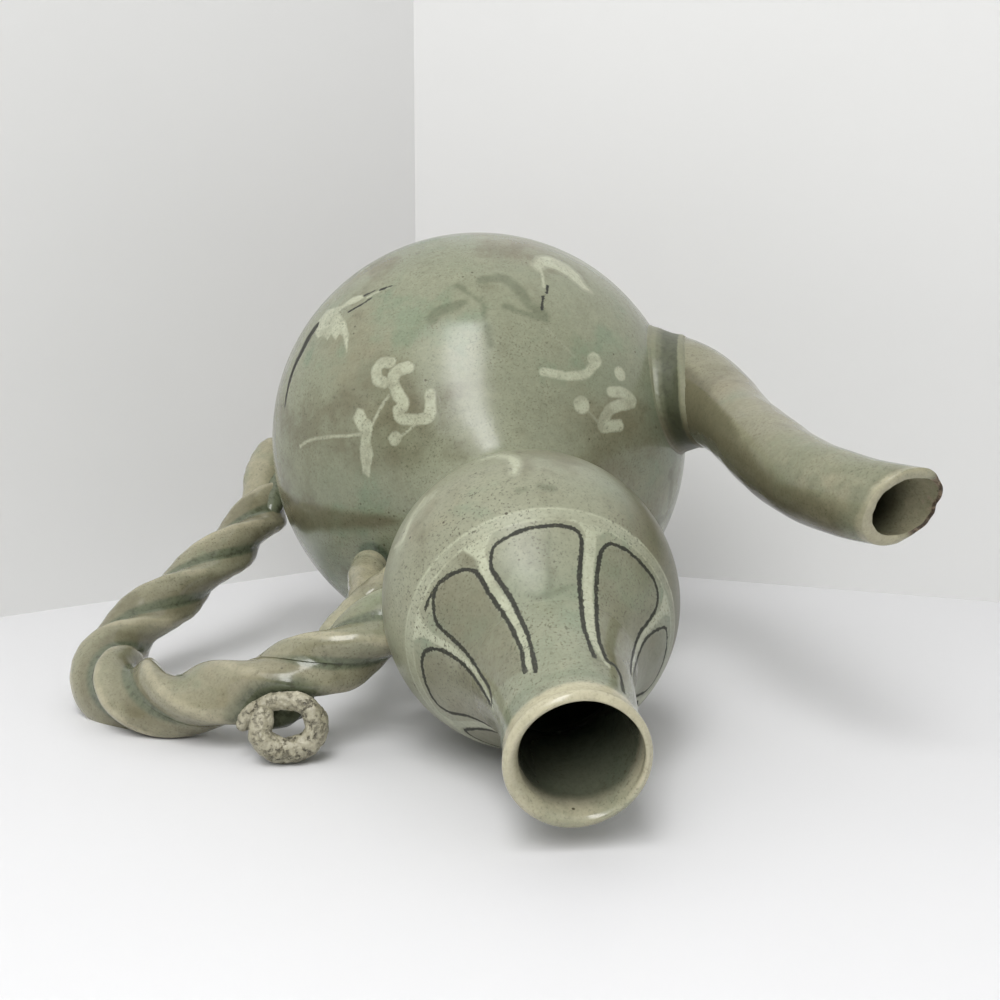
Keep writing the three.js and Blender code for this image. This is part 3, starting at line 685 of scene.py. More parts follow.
def thrown(name, outer, inner, az, shift=None):
    prof = np.vstack([outer, inner])
    n_out = len(outer)
    t = np.roll(prof, -1, axis=0) - np.roll(prof, 1, axis=0)
    t[0] = prof[1] - prof[0]
    t[n_out - 1] = prof[n_out - 1] - prof[n_out - 2]
    t[n_out] = prof[n_out + 1] - prof[n_out]
    t /= np.maximum(1e-9, np.linalg.norm(t, axis=1))[:, None]
    nrm2 = np.stack([t[:, 1], -t[:, 0]], 1)
    c, s_ = np.cos(az), np.sin(az)
    rings = np.stack([np.outer(c, prof[:, 0]), np.outer(s_, prof[:, 0]), np.tile(prof[:, 1], (len(az), 1))], -1)
    normals = np.stack([np.outer(c, nrm2[:, 0]), np.outer(s_, nrm2[:, 0]), np.tile(nrm2[:, 1], (len(az), 1))], -1)
    if shift is not None:
        w = shift(np.arange(len(prof)), prof)
        rings[:, :, 0] += w[None, :, 0]
        rings[:, :, 1] += w[None, :, 1]
    v, f = skin(rings, loop=True, flip=True)
    ob = mesh_object(name, v, f)
    outer_ids = (np.arange(len(az))[:, None] * len(prof) + np.arange(n_out)[None, :]).reshape(-1)
    return ob, v, normals.reshape(-1, 3), outer_ids


def decorate(ob, v, ids, draw, pool=None, cream=None, inner=None, brown_and_painted_shade=0.0):
    f = Field(v[ids])
    draw(f)
    n = len(ob.data.vertices)
    for name in ("white", "black", "faint", "stain_and_painted_shade"):
        full = np.full(n, 9.0)
        full[ids] = getattr(f, name)
        attribute(ob, name, full)
    brown = np.zeros(n)
    # brown: the petals' brown tone, less on the pale petal, plus the painted reflection-and-shade band and the darker
    # patches
    brown[ids] = 0.70 * smooth(f.tone, 0.5, -1.6) - 0.8 * smooth(f.pale, 0.5, -2.5) + 0.95 * smooth(f.painted_reflection_shade, 0.8, -4.0) + 0.55 * smooth(f.dim, 2.5, -5.0)
    attribute(ob, "brown", brown + brown_and_painted_shade)
    for name, values in (("pool", pool), ("cream", cream), ("inner", inner)):
        attribute(ob, name, np.zeros(n) if values is None else values)
    attribute(ob, "worn", np.zeros(n))


def draw_lower(f):
    # painted reflection and shade: the dark band low on the lower bulb
    f.area("painted_reflection_shade", PAINTED_DARK_REFLECTION)
    f.area("dim", DIM)
    f.area("dim", DIM_R)
    for turn in (0, 104):
        f.area("white", CRANE_1, 0.1, turn)
        for leg in CRANE_1_LEGS:
            f.stroke("black", leg, 0.8, turn, [(0, 1.1), (1, 0.7)])
        f.stroke("white", CRANE_1_NECK, 0.9, turn)
        f.stroke("black", CRANE_1_TAIL, 4.2, turn, [(0, 0.9), (0.15, 1.0), (0.5, 0.7), (1, 0.2)])
        f.stroke("white", HOOK, 3.5, turn)
        f.stroke("white", CLOUD_1, 3.7, turn, [(0, 1.1), (0.3, 1.05), (0.55, 0.85), (0.8, 1.0), (1, 0.8)])
        f.stroke("white", THIN_1, 0.9, turn)
        f.area("white", LEAF, 0.4, turn)
        f.drop("white", DROP_1, 2.1, turn)
        f.stroke("white", DROP_LINE, 0.7, turn)
        f.stroke("white", WISP, 0.9, turn)
    for turn in (0, 252):
        f.drop("white", DROP_2, 2.6, turn)
        f.stroke("white", BAND_2, 2.8, turn)
        f.drop("white", DROP_3, 2.3, turn)
        f.stroke("white", CLOUD_2, 3.6, turn)
        f.drop("white", DROP_4, 2.7, turn)
        f.stroke("faint", LINE_4, 0.9, turn)
        f.stroke("faint", LINE_2, 0.5, turn)
        f.area("white", CRANE_2, 0.1, turn)
        f.area("faint", CRANE_2, 1.3, turn)
        f.stroke("white", CRANE_2_NECK, 0.9, turn)
        for line in CRANE_2_BLACK:
            f.stroke("black", line, 0.9, turn, [(0, 1.0), (0.5, 0.6), (1, 1.0)])
        for line, w in BRUSH:
            f.stroke("stain_and_painted_shade", line, w * 1.7, turn)


def draw_upper(f):
    dark = 1.0
    f.area("tone", PETAL_B, 0.4)
    f.area("tone", PETAL_C, 0.4)
    f.area("tone", PETAL_D, 0.4)
    f.area("tone", PETAL_F, 0.4)
    f.area("tone", PETAL_A, 0.4, 154.3)
    f.area("pale", PETAL_A, 0.4)
    f.stroke("black", PETAL_A, dark)
    f.stroke("black", PETAL_B, dark)
    f.stroke("black", SPUR_B, dark * 0.7)
    f.stroke("black", PETAL_C, dark)
    f.stroke("black", PETAL_D, dark)
    f.stroke("black", PETAL_F, dark * 0.8)
    f.stroke("black", PETAL_A, dark, 154.3)
    f.stroke("black", PETAL_A, dark, 205.7)
    down = [(0, 1.25), (0.25, 1.1), (0.7, 1.0), (1, 0.55)]
    f.stroke("white", WEB_AB, 2.2, 0, down)
    f.stroke("white", WEB_AC, 2.5, 0, down)
    f.stroke("white", WEB_BD, 1.9, 0, down)
    f.stroke("white", WEB_CF, 1.9, 0, down)
    f.stroke("white", WEB_AC, 2.1, 154.3, down)
    f.stroke("white", WEB_AC, 2.1, 205.7, down)
    f.stroke("white", WEB_AC, 2.1, 257.1, down)
    f.area("white", WEDGE_AB, 0.2)
    f.area("white", WEDGE_AC, 0.2)
    f.area("white", WEDGE_BD, 0.2)
    for turn in (-54.4, 154.3, 205.7, 257.1):
        f.area("white", WEDGE_AC, 0.2, turn)
    f.ring("white", 206.2, 0.62)
    f.ring("white", 208.9, 0.52)
    band = np.abs(f.s - arc_at(207.5)) - 1.3
    f.faint = np.minimum(f.faint, band - 0.1)
    f.stroke("white", CURL, 1.9, 0, [(0, 0.4), (0.4, 1.0), (0.75, 1.25), (1, 0.5)])
    f.stroke("faint", CURL, 5.0, 0, [(0, 0.7), (0.5, 1.0), (1, 0.7)])
    # painted reflection of the lamps: a pale streak near the upper bulb's left limb, a white stroke inside a broad
    # faint one
    f.stroke("white", [(135, 186.5), (129.7, 189.5), (123.4, 185.6), (115.0, 180.3)], 2.2, 0, [(0, 0.6), (0.4, 1.1), (1, 0.5)])
    f.stroke("faint", PAINTED_REFLECTION_STREAK, 5.5)
    # painted shade and a painted dark reflection of the spout: a soft dark stroke along the upper bulb's right limb
    f.stroke("stain_and_painted_shade", [(19, 168), (13, 176), (8.6, 185), (6.7, 192.5), (5.0, 201.1), (7, 209)], 0.9)
    f.stroke("stain_and_painted_shade", [(69.9, 212.5), (70.5, 215), (71.8, 218), (72.4, 221.2), (73.2, 224.4)], 0.3)
    f.stroke("stain_and_painted_shade", [(88.3, 224.5), (82.3, 225.9), (73.7, 225.4), (65.1, 224.5), (58.7, 223.2)], 0.2)
    f.stroke("stain_and_painted_shade", [(78.7, 199.8), (75.9, 200)], 1.6)
    f.stroke("stain_and_painted_shade", [(70.4, 199.2), (66.4, 199.9)], 2.2)


az_low = azimuths(-5, 160, 0.30, 0.52)
outer = body_part(4.5, WAIST_Z, 430, (52, 128, 2.0))
inner = inside(WAIST_Z, 16.0, 90)
bottom = np.array([[36.0, 12.9], [31.0, 12.0], [26.0, 11.5], [0.05, 11.5], [0.05, 4.5], [20.0, 4.5], [36.4, 4.5]])
low, v_low, n_low, ids_low = thrown("lower_bulb_body", outer, np.vstack([inner, bottom]), az_low)

az_up = azimuths(-20, 185, 0.36, 0.62)
outer = body_part(WAIST_Z, SHOULDER_Z, 340, (200, 227.4, 1.7))
inner = inside(SHOULDER_Z, WAIST_Z, 80)
upp, v_up, n_up, ids_up = thrown("upper_bulb_body", outer, inner, az_up)

LIP = [(16.12, 259.95), (16.1, 260.6), (15.85, 261.15), (15.35, 261.6), (14.9, 261.84), (14.5, 261.75), (14.1, 261.4), (13.85, 260.9), (13.7, 260.1), (13.5, 258.6)]
outer = body_part(SHOULDER_Z, 259.3, 150)
lip = spline([tuple(outer[-1])] + LIP, 46)[1:]
inner = inside(257.0, SHOULDER_Z, 70)
outer = np.vstack([outer, lip])


def lip_shift(i, prof):
    # the lip isn't quite round: its wall is thick on one side and thin on the other
    up_w = smooth(prof[:, 1], 240, 259)
    side = np.clip((i - 168) / 24.0, 0, 1)
    side = side * side * (3 - 2 * side)
    return np.stack([up_w * (-0.90 + 1.18 * side), up_w * (-1.25 + 0.35 * side)], 1)


nec, v_ne, n_ne, ids_ne = thrown("neck_body", outer, inner, azimuths(-20, 200, 0.5, 0.9), lip_shift)
tilt = smooth(v_ne[:, 2], 243, 260)
v_ne = v_ne.copy()
v_ne[:, 2] += tilt * (0.45 - 0.040 * (0.374 * v_ne[:, 0] + 0.927 * v_ne[:, 1]))
wave = np.arctan2(v_ne[:, 1], v_ne[:, 0])
v_ne[:, 2] += smooth(v_ne[:, 2], 256, 261) * (0.10 * np.sin(3 * wave + 1.0) + 0.07 * np.sin(5 * wave))
v_ne[:, 2] = np.minimum(v_ne[:, 2], 262.95)
nec.data.vertices.foreach_set("co", np.ascontiguousarray(v_ne * MM, np.float32).reshape(-1))
nec.data.update()

ends = [(HP[:30], HQ[:30, 2] * 0.95), (LOBE[60:, :3], LOBE[60:, 3]), (LEAF_1[90:, :3], LEAF_1[90:, 3])]
pool = np.zeros(len(v_low))
for c, r in ends:
    pool = np.maximum(pool, near_path(v_low, c, r, 2.6))
pool = np.maximum(pool, 0.35 * near_path(v_low, SP[40:130:3], SQ[40:130:3, 2] + 2.0, 4.5))
decorate(low, v_low, ids_low, draw_lower, pool)
pool = near_path(v_up, HP[560:625:3], HQ[560:625:3, 2] * 0.93, 2.4)
cream = None
az_v = np.degrees(np.arctan2(v_up[:, 1], v_up[:, 0]))
# painted shade on the upper bulb: on its right side, and more lightly low on its left side
shade = smooth(az_v, 56, 14) * smooth(az_v, -60, -30) * smooth(v_up[:, 2], 213, 204)
shade_l = smooth(az_v, 128, 160) * smooth(v_up[:, 2], 205, 190)
decorate(upp, v_up, ids_up, draw_upper, pool, cream, None, 1.15 * shade + 0.45 * shade_l)
z = v_ne[:, 2]
cream = smooth(z, 253.4, 258.0) * 0.95
cream = np.maximum(cream, 0.25 * smooth(z, 244, 249.4) * smooth(z, 251, 249.8))
pool = 0.40 * smooth(z, 249.6, 251.2) * smooth(z, 255.0, 252.6)
step = np.arange(len(v_ne)) % (len(outer) + len(inner))
around = np.arctan2(v_ne[:, 1], v_ne[:, 0])
# painted shade inside the mouth: darker deeper in, with the pooled-glaze green darkening with depth too, and less dark
# on the lower side as painted light
lit = smooth(np.cos(around - math.radians(-72)), -0.1, 1.0)
deep = (step > len(outer) - 18) & (z < 261.2)
pool = np.where(deep, 0.55 * smooth(z, 256, 240), pool)
inner_n = np.where(deep, smooth(z, 260.6, 256.4), 0.0) * (1 - 0.30 * lit)
# painted shade on the lip's lower side, toward the table: less cream and more brown there
low_side = smooth(np.cos(around - math.radians(-112)), 0.2, 0.95)
pool = np.maximum(pool, 0.45 * smooth(np.cos(around - math.radians(150)), 0.75, 0.97) * smooth(z, 247, 251) * smooth(z, 259, 256) * ~deep)
decorate(nec, v_ne, ids_ne, draw_upper, pool, cream * (1 - 0.35 * low_side), inner_n, 0.55 * low_side * smooth(z, 250, 257))
for ob, nrm in ((low, n_low), (upp, n_up), (nec, n_ne)):
    length = np.linalg.norm(nrm, axis=1)
    nrm = nrm / np.maximum(1e-9, length)[:, None]
    ob.data.set_sharp_from_angle(angle=math.radians(50))
    if ob is not nec:
        ob.data.normals_split_custom_set_from_vertices(nrm.astype(np.float32))
finish_piece(low, mat_lower, "lower_bulb")
finish_piece(upp, mat_upper, "upper_bulb")
finish_piece(nec, mat_neck, "neck_and_lip")

foot_prof = np.array([[0.05, 0.0], [24, 0.0], [30, 0.0], [34.4, 0.0], [35.0, 0.2], [35.4, 0.7], [35.7, 1.8], [35.9, 3.2], [36.3, 4.2], [30, 4.2], [0.05, 4.2]])
az = np.linspace(0, 2 * np.pi, 240, endpoint=False)
rings = np.stack([np.outer(np.cos(az), foot_prof[:, 0]), np.outer(np.sin(az), foot_prof[:, 0]), np.tile(foot_prof[:, 1], (240, 1))], -1)
v, f = skin(rings, loop=True, flip=True)
foot = mesh_object("foot_body", v, f)
foot.data.set_sharp_from_angle(angle=math.radians(40))
finish_piece(foot, mat_clay, "foot_disc")


def tidy(ob, angle):
    bm = bmesh.new()
    bm.from_mesh(ob.data)
    bmesh.ops.recalc_face_normals(bm, faces=bm.faces)
    bm.to_mesh(ob.data)
    bm.free()
    ob.data.set_sharp_from_angle(angle=math.radians(angle))


def blank(ob, **given):
    n = len(ob.data.vertices)
    for name in ("pool", "cream", "worn", "brown", "inner"):
        attribute(ob, name, given.get(name, np.zeros(n)))


# -------------------------------------------------------------------- spout
SIDES = 160
ang = np.linspace(0, 2 * np.pi, SIDES, endpoint=False)


def spout_tube(extra):
    r = (SQ[:, 2] + extra)[:, None, None]
    return SP[:, None, :] + r * (np.cos(ang)[None, :, None] * Y + np.sin(ang)[None, :, None] * SN[:, None, :])


deg = np.degrees(ang)


def bulge(centre, width, height):
    d = (deg - centre + 180) % 360 - 180
    return height * np.exp(-((d / width) ** 2))


# the rim is worn: a chip on the outer side, a raised corner beside it
chips = -0.25 + bulge(246, 11, -0.75) + bulge(280, 26, -0.45) + bulge(272, 10, 0.35) + bulge(226, 9, -0.3) + bulge(196, 24, -0.45) + bulge(40, 26, -0.2)
chips += 0.09 * np.sin(np.radians(7 * deg)) + 0.06 * np.sin(np.radians(17 * deg + 40))
# on that side the wall has worn thin
thin = np.exp(-((((deg - 245 + 180) % 360 - 180) / 62) ** 4))


def cut_height(p, j):
    return 209.3 - 0.116 * (p[..., 0] - 93.15) + 0.229 * p[..., 1] + chips[j]


def trim(rings):
    """Shortens each column of points so that it ends on the slanting cut of the tip."""
    r = rings.copy()
    n = r.shape[0]
    for j in range(r.shape[1]):
        col = r[:, j]
        gap = cut_height(col, j) - col[:, 2]
        over = np.nonzero(gap < 0)[0]
        last = over[0]
        a, b = col[last - 1], col[last]
        w = gap[last - 1] / (gap[last - 1] - gap[last])
        pts = np.vstack([col[:last], a + (b - a) * w])
        d = np.concatenate([[0], np.cumsum(np.linalg.norm(np.diff(pts, axis=0), axis=1))])
        u = np.linspace(0, d[-1], n)
        r[:, j] = np.stack([np.interp(u, d, pts[:, c]) for c in range(3)], 1)
    return r


outer_t = trim(spout_tube(0.0))
inner_t = trim(spout_tube(-SPOUT_WALL))
flare = smooth(np.linspace(0, 1, len(inner_t)), 0.93, 1.0)[:, None, None] * thin[None, :, None] * 0.74
inner_t = inner_t * (1 - flare) + outer_t * flare
outer_t = outer_t + (0.16 * lumps(outer_t, 34.0, 0.4))[..., None] * (outer_t - SP[:, None, :]) / SQ[:, 2][:, None, None]
lift = np.array([0.05, -0.2, 0.97])
rim = []
for w, h in ((0.93, 0.16), (0.82, 0.34), (0.66, 0.46), (0.5, 0.5), (0.34, 0.44), (0.18, 0.30), (0.07, 0.12)):
    rim.append(outer_t[-1] * w + inner_t[-1] * (1 - w) + lift * h)
rim = np.array(rim)
rings = np.concatenate([outer_t, rim, inner_t[::-1]])
n_out, n_rim = len(outer_t), len(rim)
kept = keep_out(rings)
v, f = skin(kept, loop=True)
spout = mesh_object("spout_body", v, f)
along = np.zeros(rings.shape[:2])
along[:n_out] = np.linspace(0, 1, n_out)[:, None]
along[n_out : n_out + n_rim] = 1
cream = np.zeros(rings.shape[:2])
worn = np.zeros(rings.shape[:2])
pool = np.zeros(rings.shape[:2])
cream[:n_out] = (0.70 * smooth(along[:n_out], 0.972, 0.998)) * (1 - thin[None, :])
cream[n_out : n_out + n_rim] = 0.85 * (1 - thin[None, :])
worn[n_out - 2 : n_out + n_rim + 1] = 0.95 * thin[None, :]
worn[n_out + n_rim + 1 : n_out + n_rim + 9] = 0.45 * thin[None, :]
brown = np.zeros(rings.shape[:2])
inner_s = np.zeros(rings.shape[:2])
back_along = np.linspace(1, 0, rings.shape[0] - n_out - n_rim)
# painted shade deep inside the spout's bore
inner_s[n_out + n_rim :] = smooth(back_along, 0.975, 0.86)[:, None]
cream[n_out + n_rim :] = 0.55 * smooth(back_along, 0.86, 1.0)[:, None]
brown[n_out + n_rim :] = 0.75
# painted shade on the spout's underside, darkest at the root, together with the browner glaze there
low_edge = -0.30 + 0.78 * smooth(along[:n_out], 0.30, 0.95)
under = smooth(np.cos(ang - np.radians(108))[None, :] - low_edge, 0.0, 0.42)
brown[:n_out] = (1.55 - 0.75 * along[:n_out]) * under * smooth(along[:n_out], 1.0, 0.93)
# painted light: cream lightening on the side of the spout facing the lamps
painted_light_side = smooth(np.cos(ang - np.radians(60)), 0.2, 1.0)
cream[:n_out] = np.maximum(cream[:n_out], 0.30 * painted_light_side[None, :] * smooth(along[:n_out], 0.55, 0.9))
pool[:n_out] = 0.35 * smooth(along[:n_out], 0.40, 0.24) * smooth(np.cos(ang + np.radians(60)), -0.2, 0.9)[None, :]
tidy(spout, 60)
blank(spout, cream=cream.reshape(-1), worn=worn.reshape(-1), pool=pool.reshape(-1), brown=brown.reshape(-1), inner=inner_s.reshape(-1))
finish_piece(spout, mat_spout, "spout_tube")

# the roll of clay round the spout's root: a groove beside the body, then a ridge
SECTION = [
    (-0.7, 3.8), (0.1, 3.1), (0.8, 2.3), (1.7, 1.95), (2.8, 1.55), (4.0, 1.22), (5.4, 0.94), (6.8, 0.72), (8.3, 0.52),
    (10.0, 0.48), (11.2, 0.52), (12.2, 0.64), (13.1, 0.66), (14.0, 0.46), (15.0, 0.10), (15.8, -0.35),
]
sec = spline(SECTION, 60)
base_t = spout_tube(0.0)
body_gap = np.hypot(base_t[..., 0], base_t[..., 1]) - radius_at(base_t[..., 2])
rings, csoft, cpool = [], [], []
for j in range(SIDES):
    i = np.nonzero(body_gap[:, j] > 0)[0][0]
    w = body_gap[i - 1, j] / (body_gap[i - 1, j] - body_gap[i, j])
    p = base_t[i - 1, j] + (base_t[i, j] - base_t[i - 1, j]) * w
    a = math.atan2(p[1], p[0])
    tr, tz = np.interp(p[2], OUT[:, 1], TAN[:, 0]), np.interp(p[2], OUT[:, 1], TAN[:, 1])
    nb = np.array([math.cos(a) * tz, math.sin(a) * tz, -tr])
    ea = (base_t[min(i + 10, len(base_t) - 1), j] - base_t[i, j])
    ea /= np.linalg.norm(ea)
    o = np.cos(ang[j]) * Y + np.sin(ang[j]) * SN[i]
    eb = o - nb * o.dot(nb)
    eb /= np.linalg.norm(eb)
    lean = eb - ea * eb.dot(ea)
    lean /= np.linalg.norm(lean)
    # the section follows the spout's own skin away from the body
    col = base_t[i : i + 60, j]
    mid = SP[i : i + 60]
    run = np.concatenate([[0], np.linalg.norm(col[0] - p) + np.cumsum(np.linalg.norm(np.diff(col, axis=0), axis=1))])
    col = np.vstack([p, col])
    run = np.concatenate([[0], run + np.linalg.norm(col[1] - p)])[: len(col)]
    mid = np.vstack([mid[0], mid])
    out = []
    size = 1.0 + 0.08 * math.sin(3 * ang[j] + 1.0) + 0.05 * math.sin(7 * ang[j]) - 0.42 * max(0.0, math.cos(ang[j] - math.radians(165)))
    for sa, sb in sec:
        t_a = max(0.0, sa)
        q = np.array([np.interp(t_a, run, col[:, c]) for c in range(3)])
        radial = q - np.array([np.interp(t_a, run, mid[:, c]) for c in range(3)])
        radial /= np.linalg.norm(radial)
        mixd = min(1.0, t_a / 3.0)
        d = eb * (1 - mixd) + radial * mixd
        d /= np.linalg.norm(d)
        out.append(q + nb * min(sa, 0.0) + d * sb * size)
    q = np.array([np.interp(8.0, run, col[:, c]) for c in range(3)])
    out.append(q - radial * 1.4)
    out.append(p - nb * 0.7 - lean * 1.0 + eb * 0.5)
    out.append(p - nb * 1.1 + eb * 2.5)
    rings.append(out)
rings = np.array(rings)
m = rings.shape[1]
v, f = skin(rings, loop=True)
collar = mesh_object("spout_collar_roll", v, f)
tidy(collar, 70)
groove = (0.55 + 0.45 * smooth(sec[:, 0], 3.5, 6.0)) * smooth(sec[:, 0], 1.2, 3.0) * smooth(sec[:, 0], 12.6, 11.2)
crest = smooth(np.abs(sec[:, 0] - 13.2), 1.5, 0.3)
cpool = np.tile(np.concatenate([1.0 * groove, np.zeros(m - len(sec))]), (SIDES, 1))
ccream = np.tile(np.concatenate([0.30 * crest, np.zeros(m - len(sec))]), (SIDES, 1))
# painted shade on the collar's lower side, together with its browner glaze there
cunder = np.tile(0.25 + smooth(np.cos(ang - np.radians(158)), -0.25, 0.75)[:, None] * 0.9, (1, m))
blank(collar, pool=cpool.reshape(-1), cream=ccream.reshape(-1), brown=cunder.reshape(-1))
finish_piece(collar, mat_collar, "spout_collar")

# ------------------------------------------------------------------- handle
tw = np.interp(HS, [a for a, _ in TWIST], [b for _, b in TWIST])
kernel = np.hanning(31)
kernel /= kernel.sum()
tw = np.convolve(np.pad(tw, 15, mode="reflect", reflect_type="odd"), kernel, mode="valid")
ACROSS = 46
delta = np.linspace(-60, 60, ACROSS)


def roll(number):
    """One of the three rolls: its round outside from groove to groove, closed through the middle of the rope."""
    crest = np.radians(tw + 60 + 120 * number)
    big = HQ[:, 2]
    wander = 5.0 * np.sin(HS / 17.0 + 0.8 * number)
    phi = crest[:, None] + np.radians(delta)[None, :]
    # the top of each roll leans towards one groove along the lower arm
    lean = 20.0 * smooth(HS, 188, 150) * smooth(HS, 20, 60) + wander
    c = lean[:, None]
    d = delta[None, :]
    u = np.where(d < c, (c - d) / (c + 60), (d - c) / (60 - c))
    g = np.abs(np.sin(np.pi / 2 * np.clip(u, 0, 1))) ** 1.75
    fused = smooth(-np.cos(phi), 0.15, 0.85) * (smooth(HS, 105, 125) * smooth(HS, 175, 155))[:, None]
    fused = np.maximum(fused, 0.55 * (smooth(HS, 172, 188) * smooth(HS, 222, 205))[:, None])
    depth = (0.345 + 0.03 * np.sin(HS / 26.0 + number))[:, None] * (1 - 0.65 * fused)
    vary = 0.035 * np.sin(HS / 21.0 + 2.1 * number) + 0.025 * np.sin(HS / 8.3 + 1.3 * number) - 0.03
    ends = np.sqrt(np.clip(1 - (np.clip(7 - HS, 0, 7) / 7) ** 2, 0.0004, 1))
    rho = big[:, None] * (1 - depth * g + vary[:, None] * (1 - g)) * ends[:, None]
    pts = HP[:, None, :] + rho[..., None] * (np.cos(phi)[..., None] * Y + np.sin(phi)[..., None] * HN[:, None, :])
    pts = pts + (0.16 * lumps(pts, 17.0, 0.9))[..., None] * (pts - HP[:, None, :]) / big[:, None, None]
    mid_p = HP + 0.06 * (np.cos(crest)[:, None] * Y + np.sin(crest)[:, None] * HN)
    rings = np.concatenate([pts, mid_p[:, None, :]], axis=1)
    rings[..., 0] = np.maximum(rings[..., 0], -135.15)
    return keep_out(rings), (1 - g) * (1 - 0.4 * fused) + 0.4 * fused


def add_island(ob_parts, rings):
    v, f = skin(rings)
    n0 = sum(len(p[0]) for p in ob_parts)
    ob_parts.append((v, (f[0] + n0, [[x + n0 for x in t] for t in f[1]])))


tails = {0: (LEAF_1,), 1: (LEAF_2,), 2: (LOBE, WEB)}
loop_path = spline(LOOP, 220)
for number in range(3):
    rings, depth = roll(number)
    parts = []
    add_island(parts, rings)
    depth_full = np.concatenate([depth, np.zeros((len(depth), 1))], axis=1).reshape(-1)
    pool = 0.88 * smooth(depth_full, 0.36, 0.0)
    cream = 0.62 * smooth(depth_full, 0.72, 1.0)
    turnin = np.repeat(smooth(HS, 88, 118) * smooth(HS, 190, 165), rings.shape[1])
    away = rings - HP[:, None, :]
    away /= np.maximum(1e-6, np.linalg.norm(away, axis=2))[..., None]
    shady = (smooth(away @ np.array([0.541, -0.779, 0.318]), 0.10, 0.90) * (smooth(HS, 112, 92) * smooth(HS, 40, 72))[:, None]).reshape(-1)
    brown = (0.34 + 0.30 * turnin) * smooth(depth_full, 0.95, 0.35) + 0.08 + 0.36 * shady
    cream = cream * (1 - 0.5 * shady)
    pool = np.concatenate([pool, [0, 0]])
    cream = np.concatenate([cream, [0, 0]])
    brown = np.concatenate([brown, [0, 0]])
    for path in tails[number]:
        path = path.copy()
        e = np.linspace(0, 1, len(path))
        path[:, 3] *= np.sqrt(np.clip(1 - (np.clip(e - 0.91, 0, 1) / 0.0915) ** 2, 0.02, 1))
        tr = sweep(path, 56)
        tr = tr + (0.2 * lumps(tr, 15.0, 1.7 + number))[..., None] * (tr - path[:, None, :3]) / np.maximum(1, path[:, 3])[:, None, None]
        tr = keep_out(tr)
        add_island(parts, tr)
        flat = tr.reshape(-1, 3)
        gap = np.hypot(flat[:, 0], flat[:, 1]) - radius_at(flat[:, 2])
        sunk = number == 2
        hidden = sunk and len(path) == 90
        pool = np.concatenate([pool, np.full(len(gap), 0.9) if hidden else (0.9 if sunk else 0.35) * smooth(gap, 1.8, 0.2), [0, 0]])
        cream = np.concatenate([cream, (0.0 if hidden else 0.52) * smooth(gap, 3.5, 8.0), [0, 0]])
        brown = np.concatenate([brown, 0.6 * smooth(gap, 5.5, 2.5), [0, 0]])
    if number == 0:
        # the pad of clay that the loop sits on; its dark colour is pooled glaze and painted shade under the loop
        a, b = np.meshgrid(np.linspace(0.03, np.pi - 0.03, 40), np.linspace(0, 2 * np.pi, 64, endpoint=False), indexing="ij")
        ball = np.stack([np.cos(a), np.sin(a) * np.cos(b), np.sin(a) * np.sin(b)], -1) * np.array([9.0, 5.6, 5.4])
        ball = ball + 0.35 * lumps(ball, 9.0, 0.5)[..., None] * ball / 6.0 + np.array([-71.0, -4.6, 185.2])
        add_island(parts, ball)
        n1 = ball.shape[0] * ball.shape[1] + 2
        pool = np.concatenate([pool, np.full(n1, 0.95)])
        cream = np.concatenate([cream, np.zeros(n1)])
        brown = np.concatenate([brown, np.full(n1, 0.8)])
    v = np.concatenate([p[0] for p in parts])
    quads = np.concatenate([p[1][0] for p in parts])
    rest = [t for p in parts for t in p[1][1]]
    ob = mesh_object("handle_roll_" + "abc"[number], v, (quads, rest))
    tidy(ob, 48)
    gap = np.where(v[:, 2] > 4.5, np.hypot(v[:, 0], v[:, 1]) - radius_at(v[:, 2]), 9)
    pool = np.maximum(pool, 0.8 * smooth(gap, 1.6, 0.2) * smooth(v[:, 2], 110, 90))
    # round the loop the rope is darkened: pooled glaze, and painted shade under the loop
    near = near_path(v, loop_path[:130:3, :3], loop_path[:130:3, 3], 9.0)
    pool = np.maximum(pool, 0.95 * near)
    cream = cream * (1 - near)
    brown = np.maximum(brown, 0.9 * smooth(near, 0.55, 0.95))
    blank(ob, pool=pool, cream=cream, brown=brown)
    finish_piece(ob, mat_handle, "handle_strand_" + "abc"[number])

# ----------------------------------------------------------------- tie loop
path = loop_path.copy()
e = np.linspace(0, 1, len(path))
path[:, 3] *= np.sqrt(np.clip(1 - (np.clip(0.035 - e, 0, 1) / 0.036) ** 2, 0.05, 1)) * np.sqrt(np.clip(1 - (np.clip(e - 0.965, 0, 1) / 0.036) ** 2, 0.05, 1))
rings = sweep(path, 64, (0.0, 0.2, 1.0))
away = (rings - path[:, None, :3]) / np.maximum(0.5, path[:, 3])[:, None, None]
rings = rings + (0.24 * lumps(rings, 7.5, 0.2) + 0.12 * lumps(rings, 3.1, 1.2) + 0.07 * lumps(rings, 1.3, 2.2))[..., None] * away
v, f = skin(rings)
loop = mesh_object("tie_loop_roll", v, f)
tidy(loop, 60)
near = near_path(v, HP[500:600:2], HQ[500:600:2, 2] * 0.93, 1.5)
attribute(loop, "pool", near * 0.8)
finish_piece(loop, mat_loop, "tie_loop")

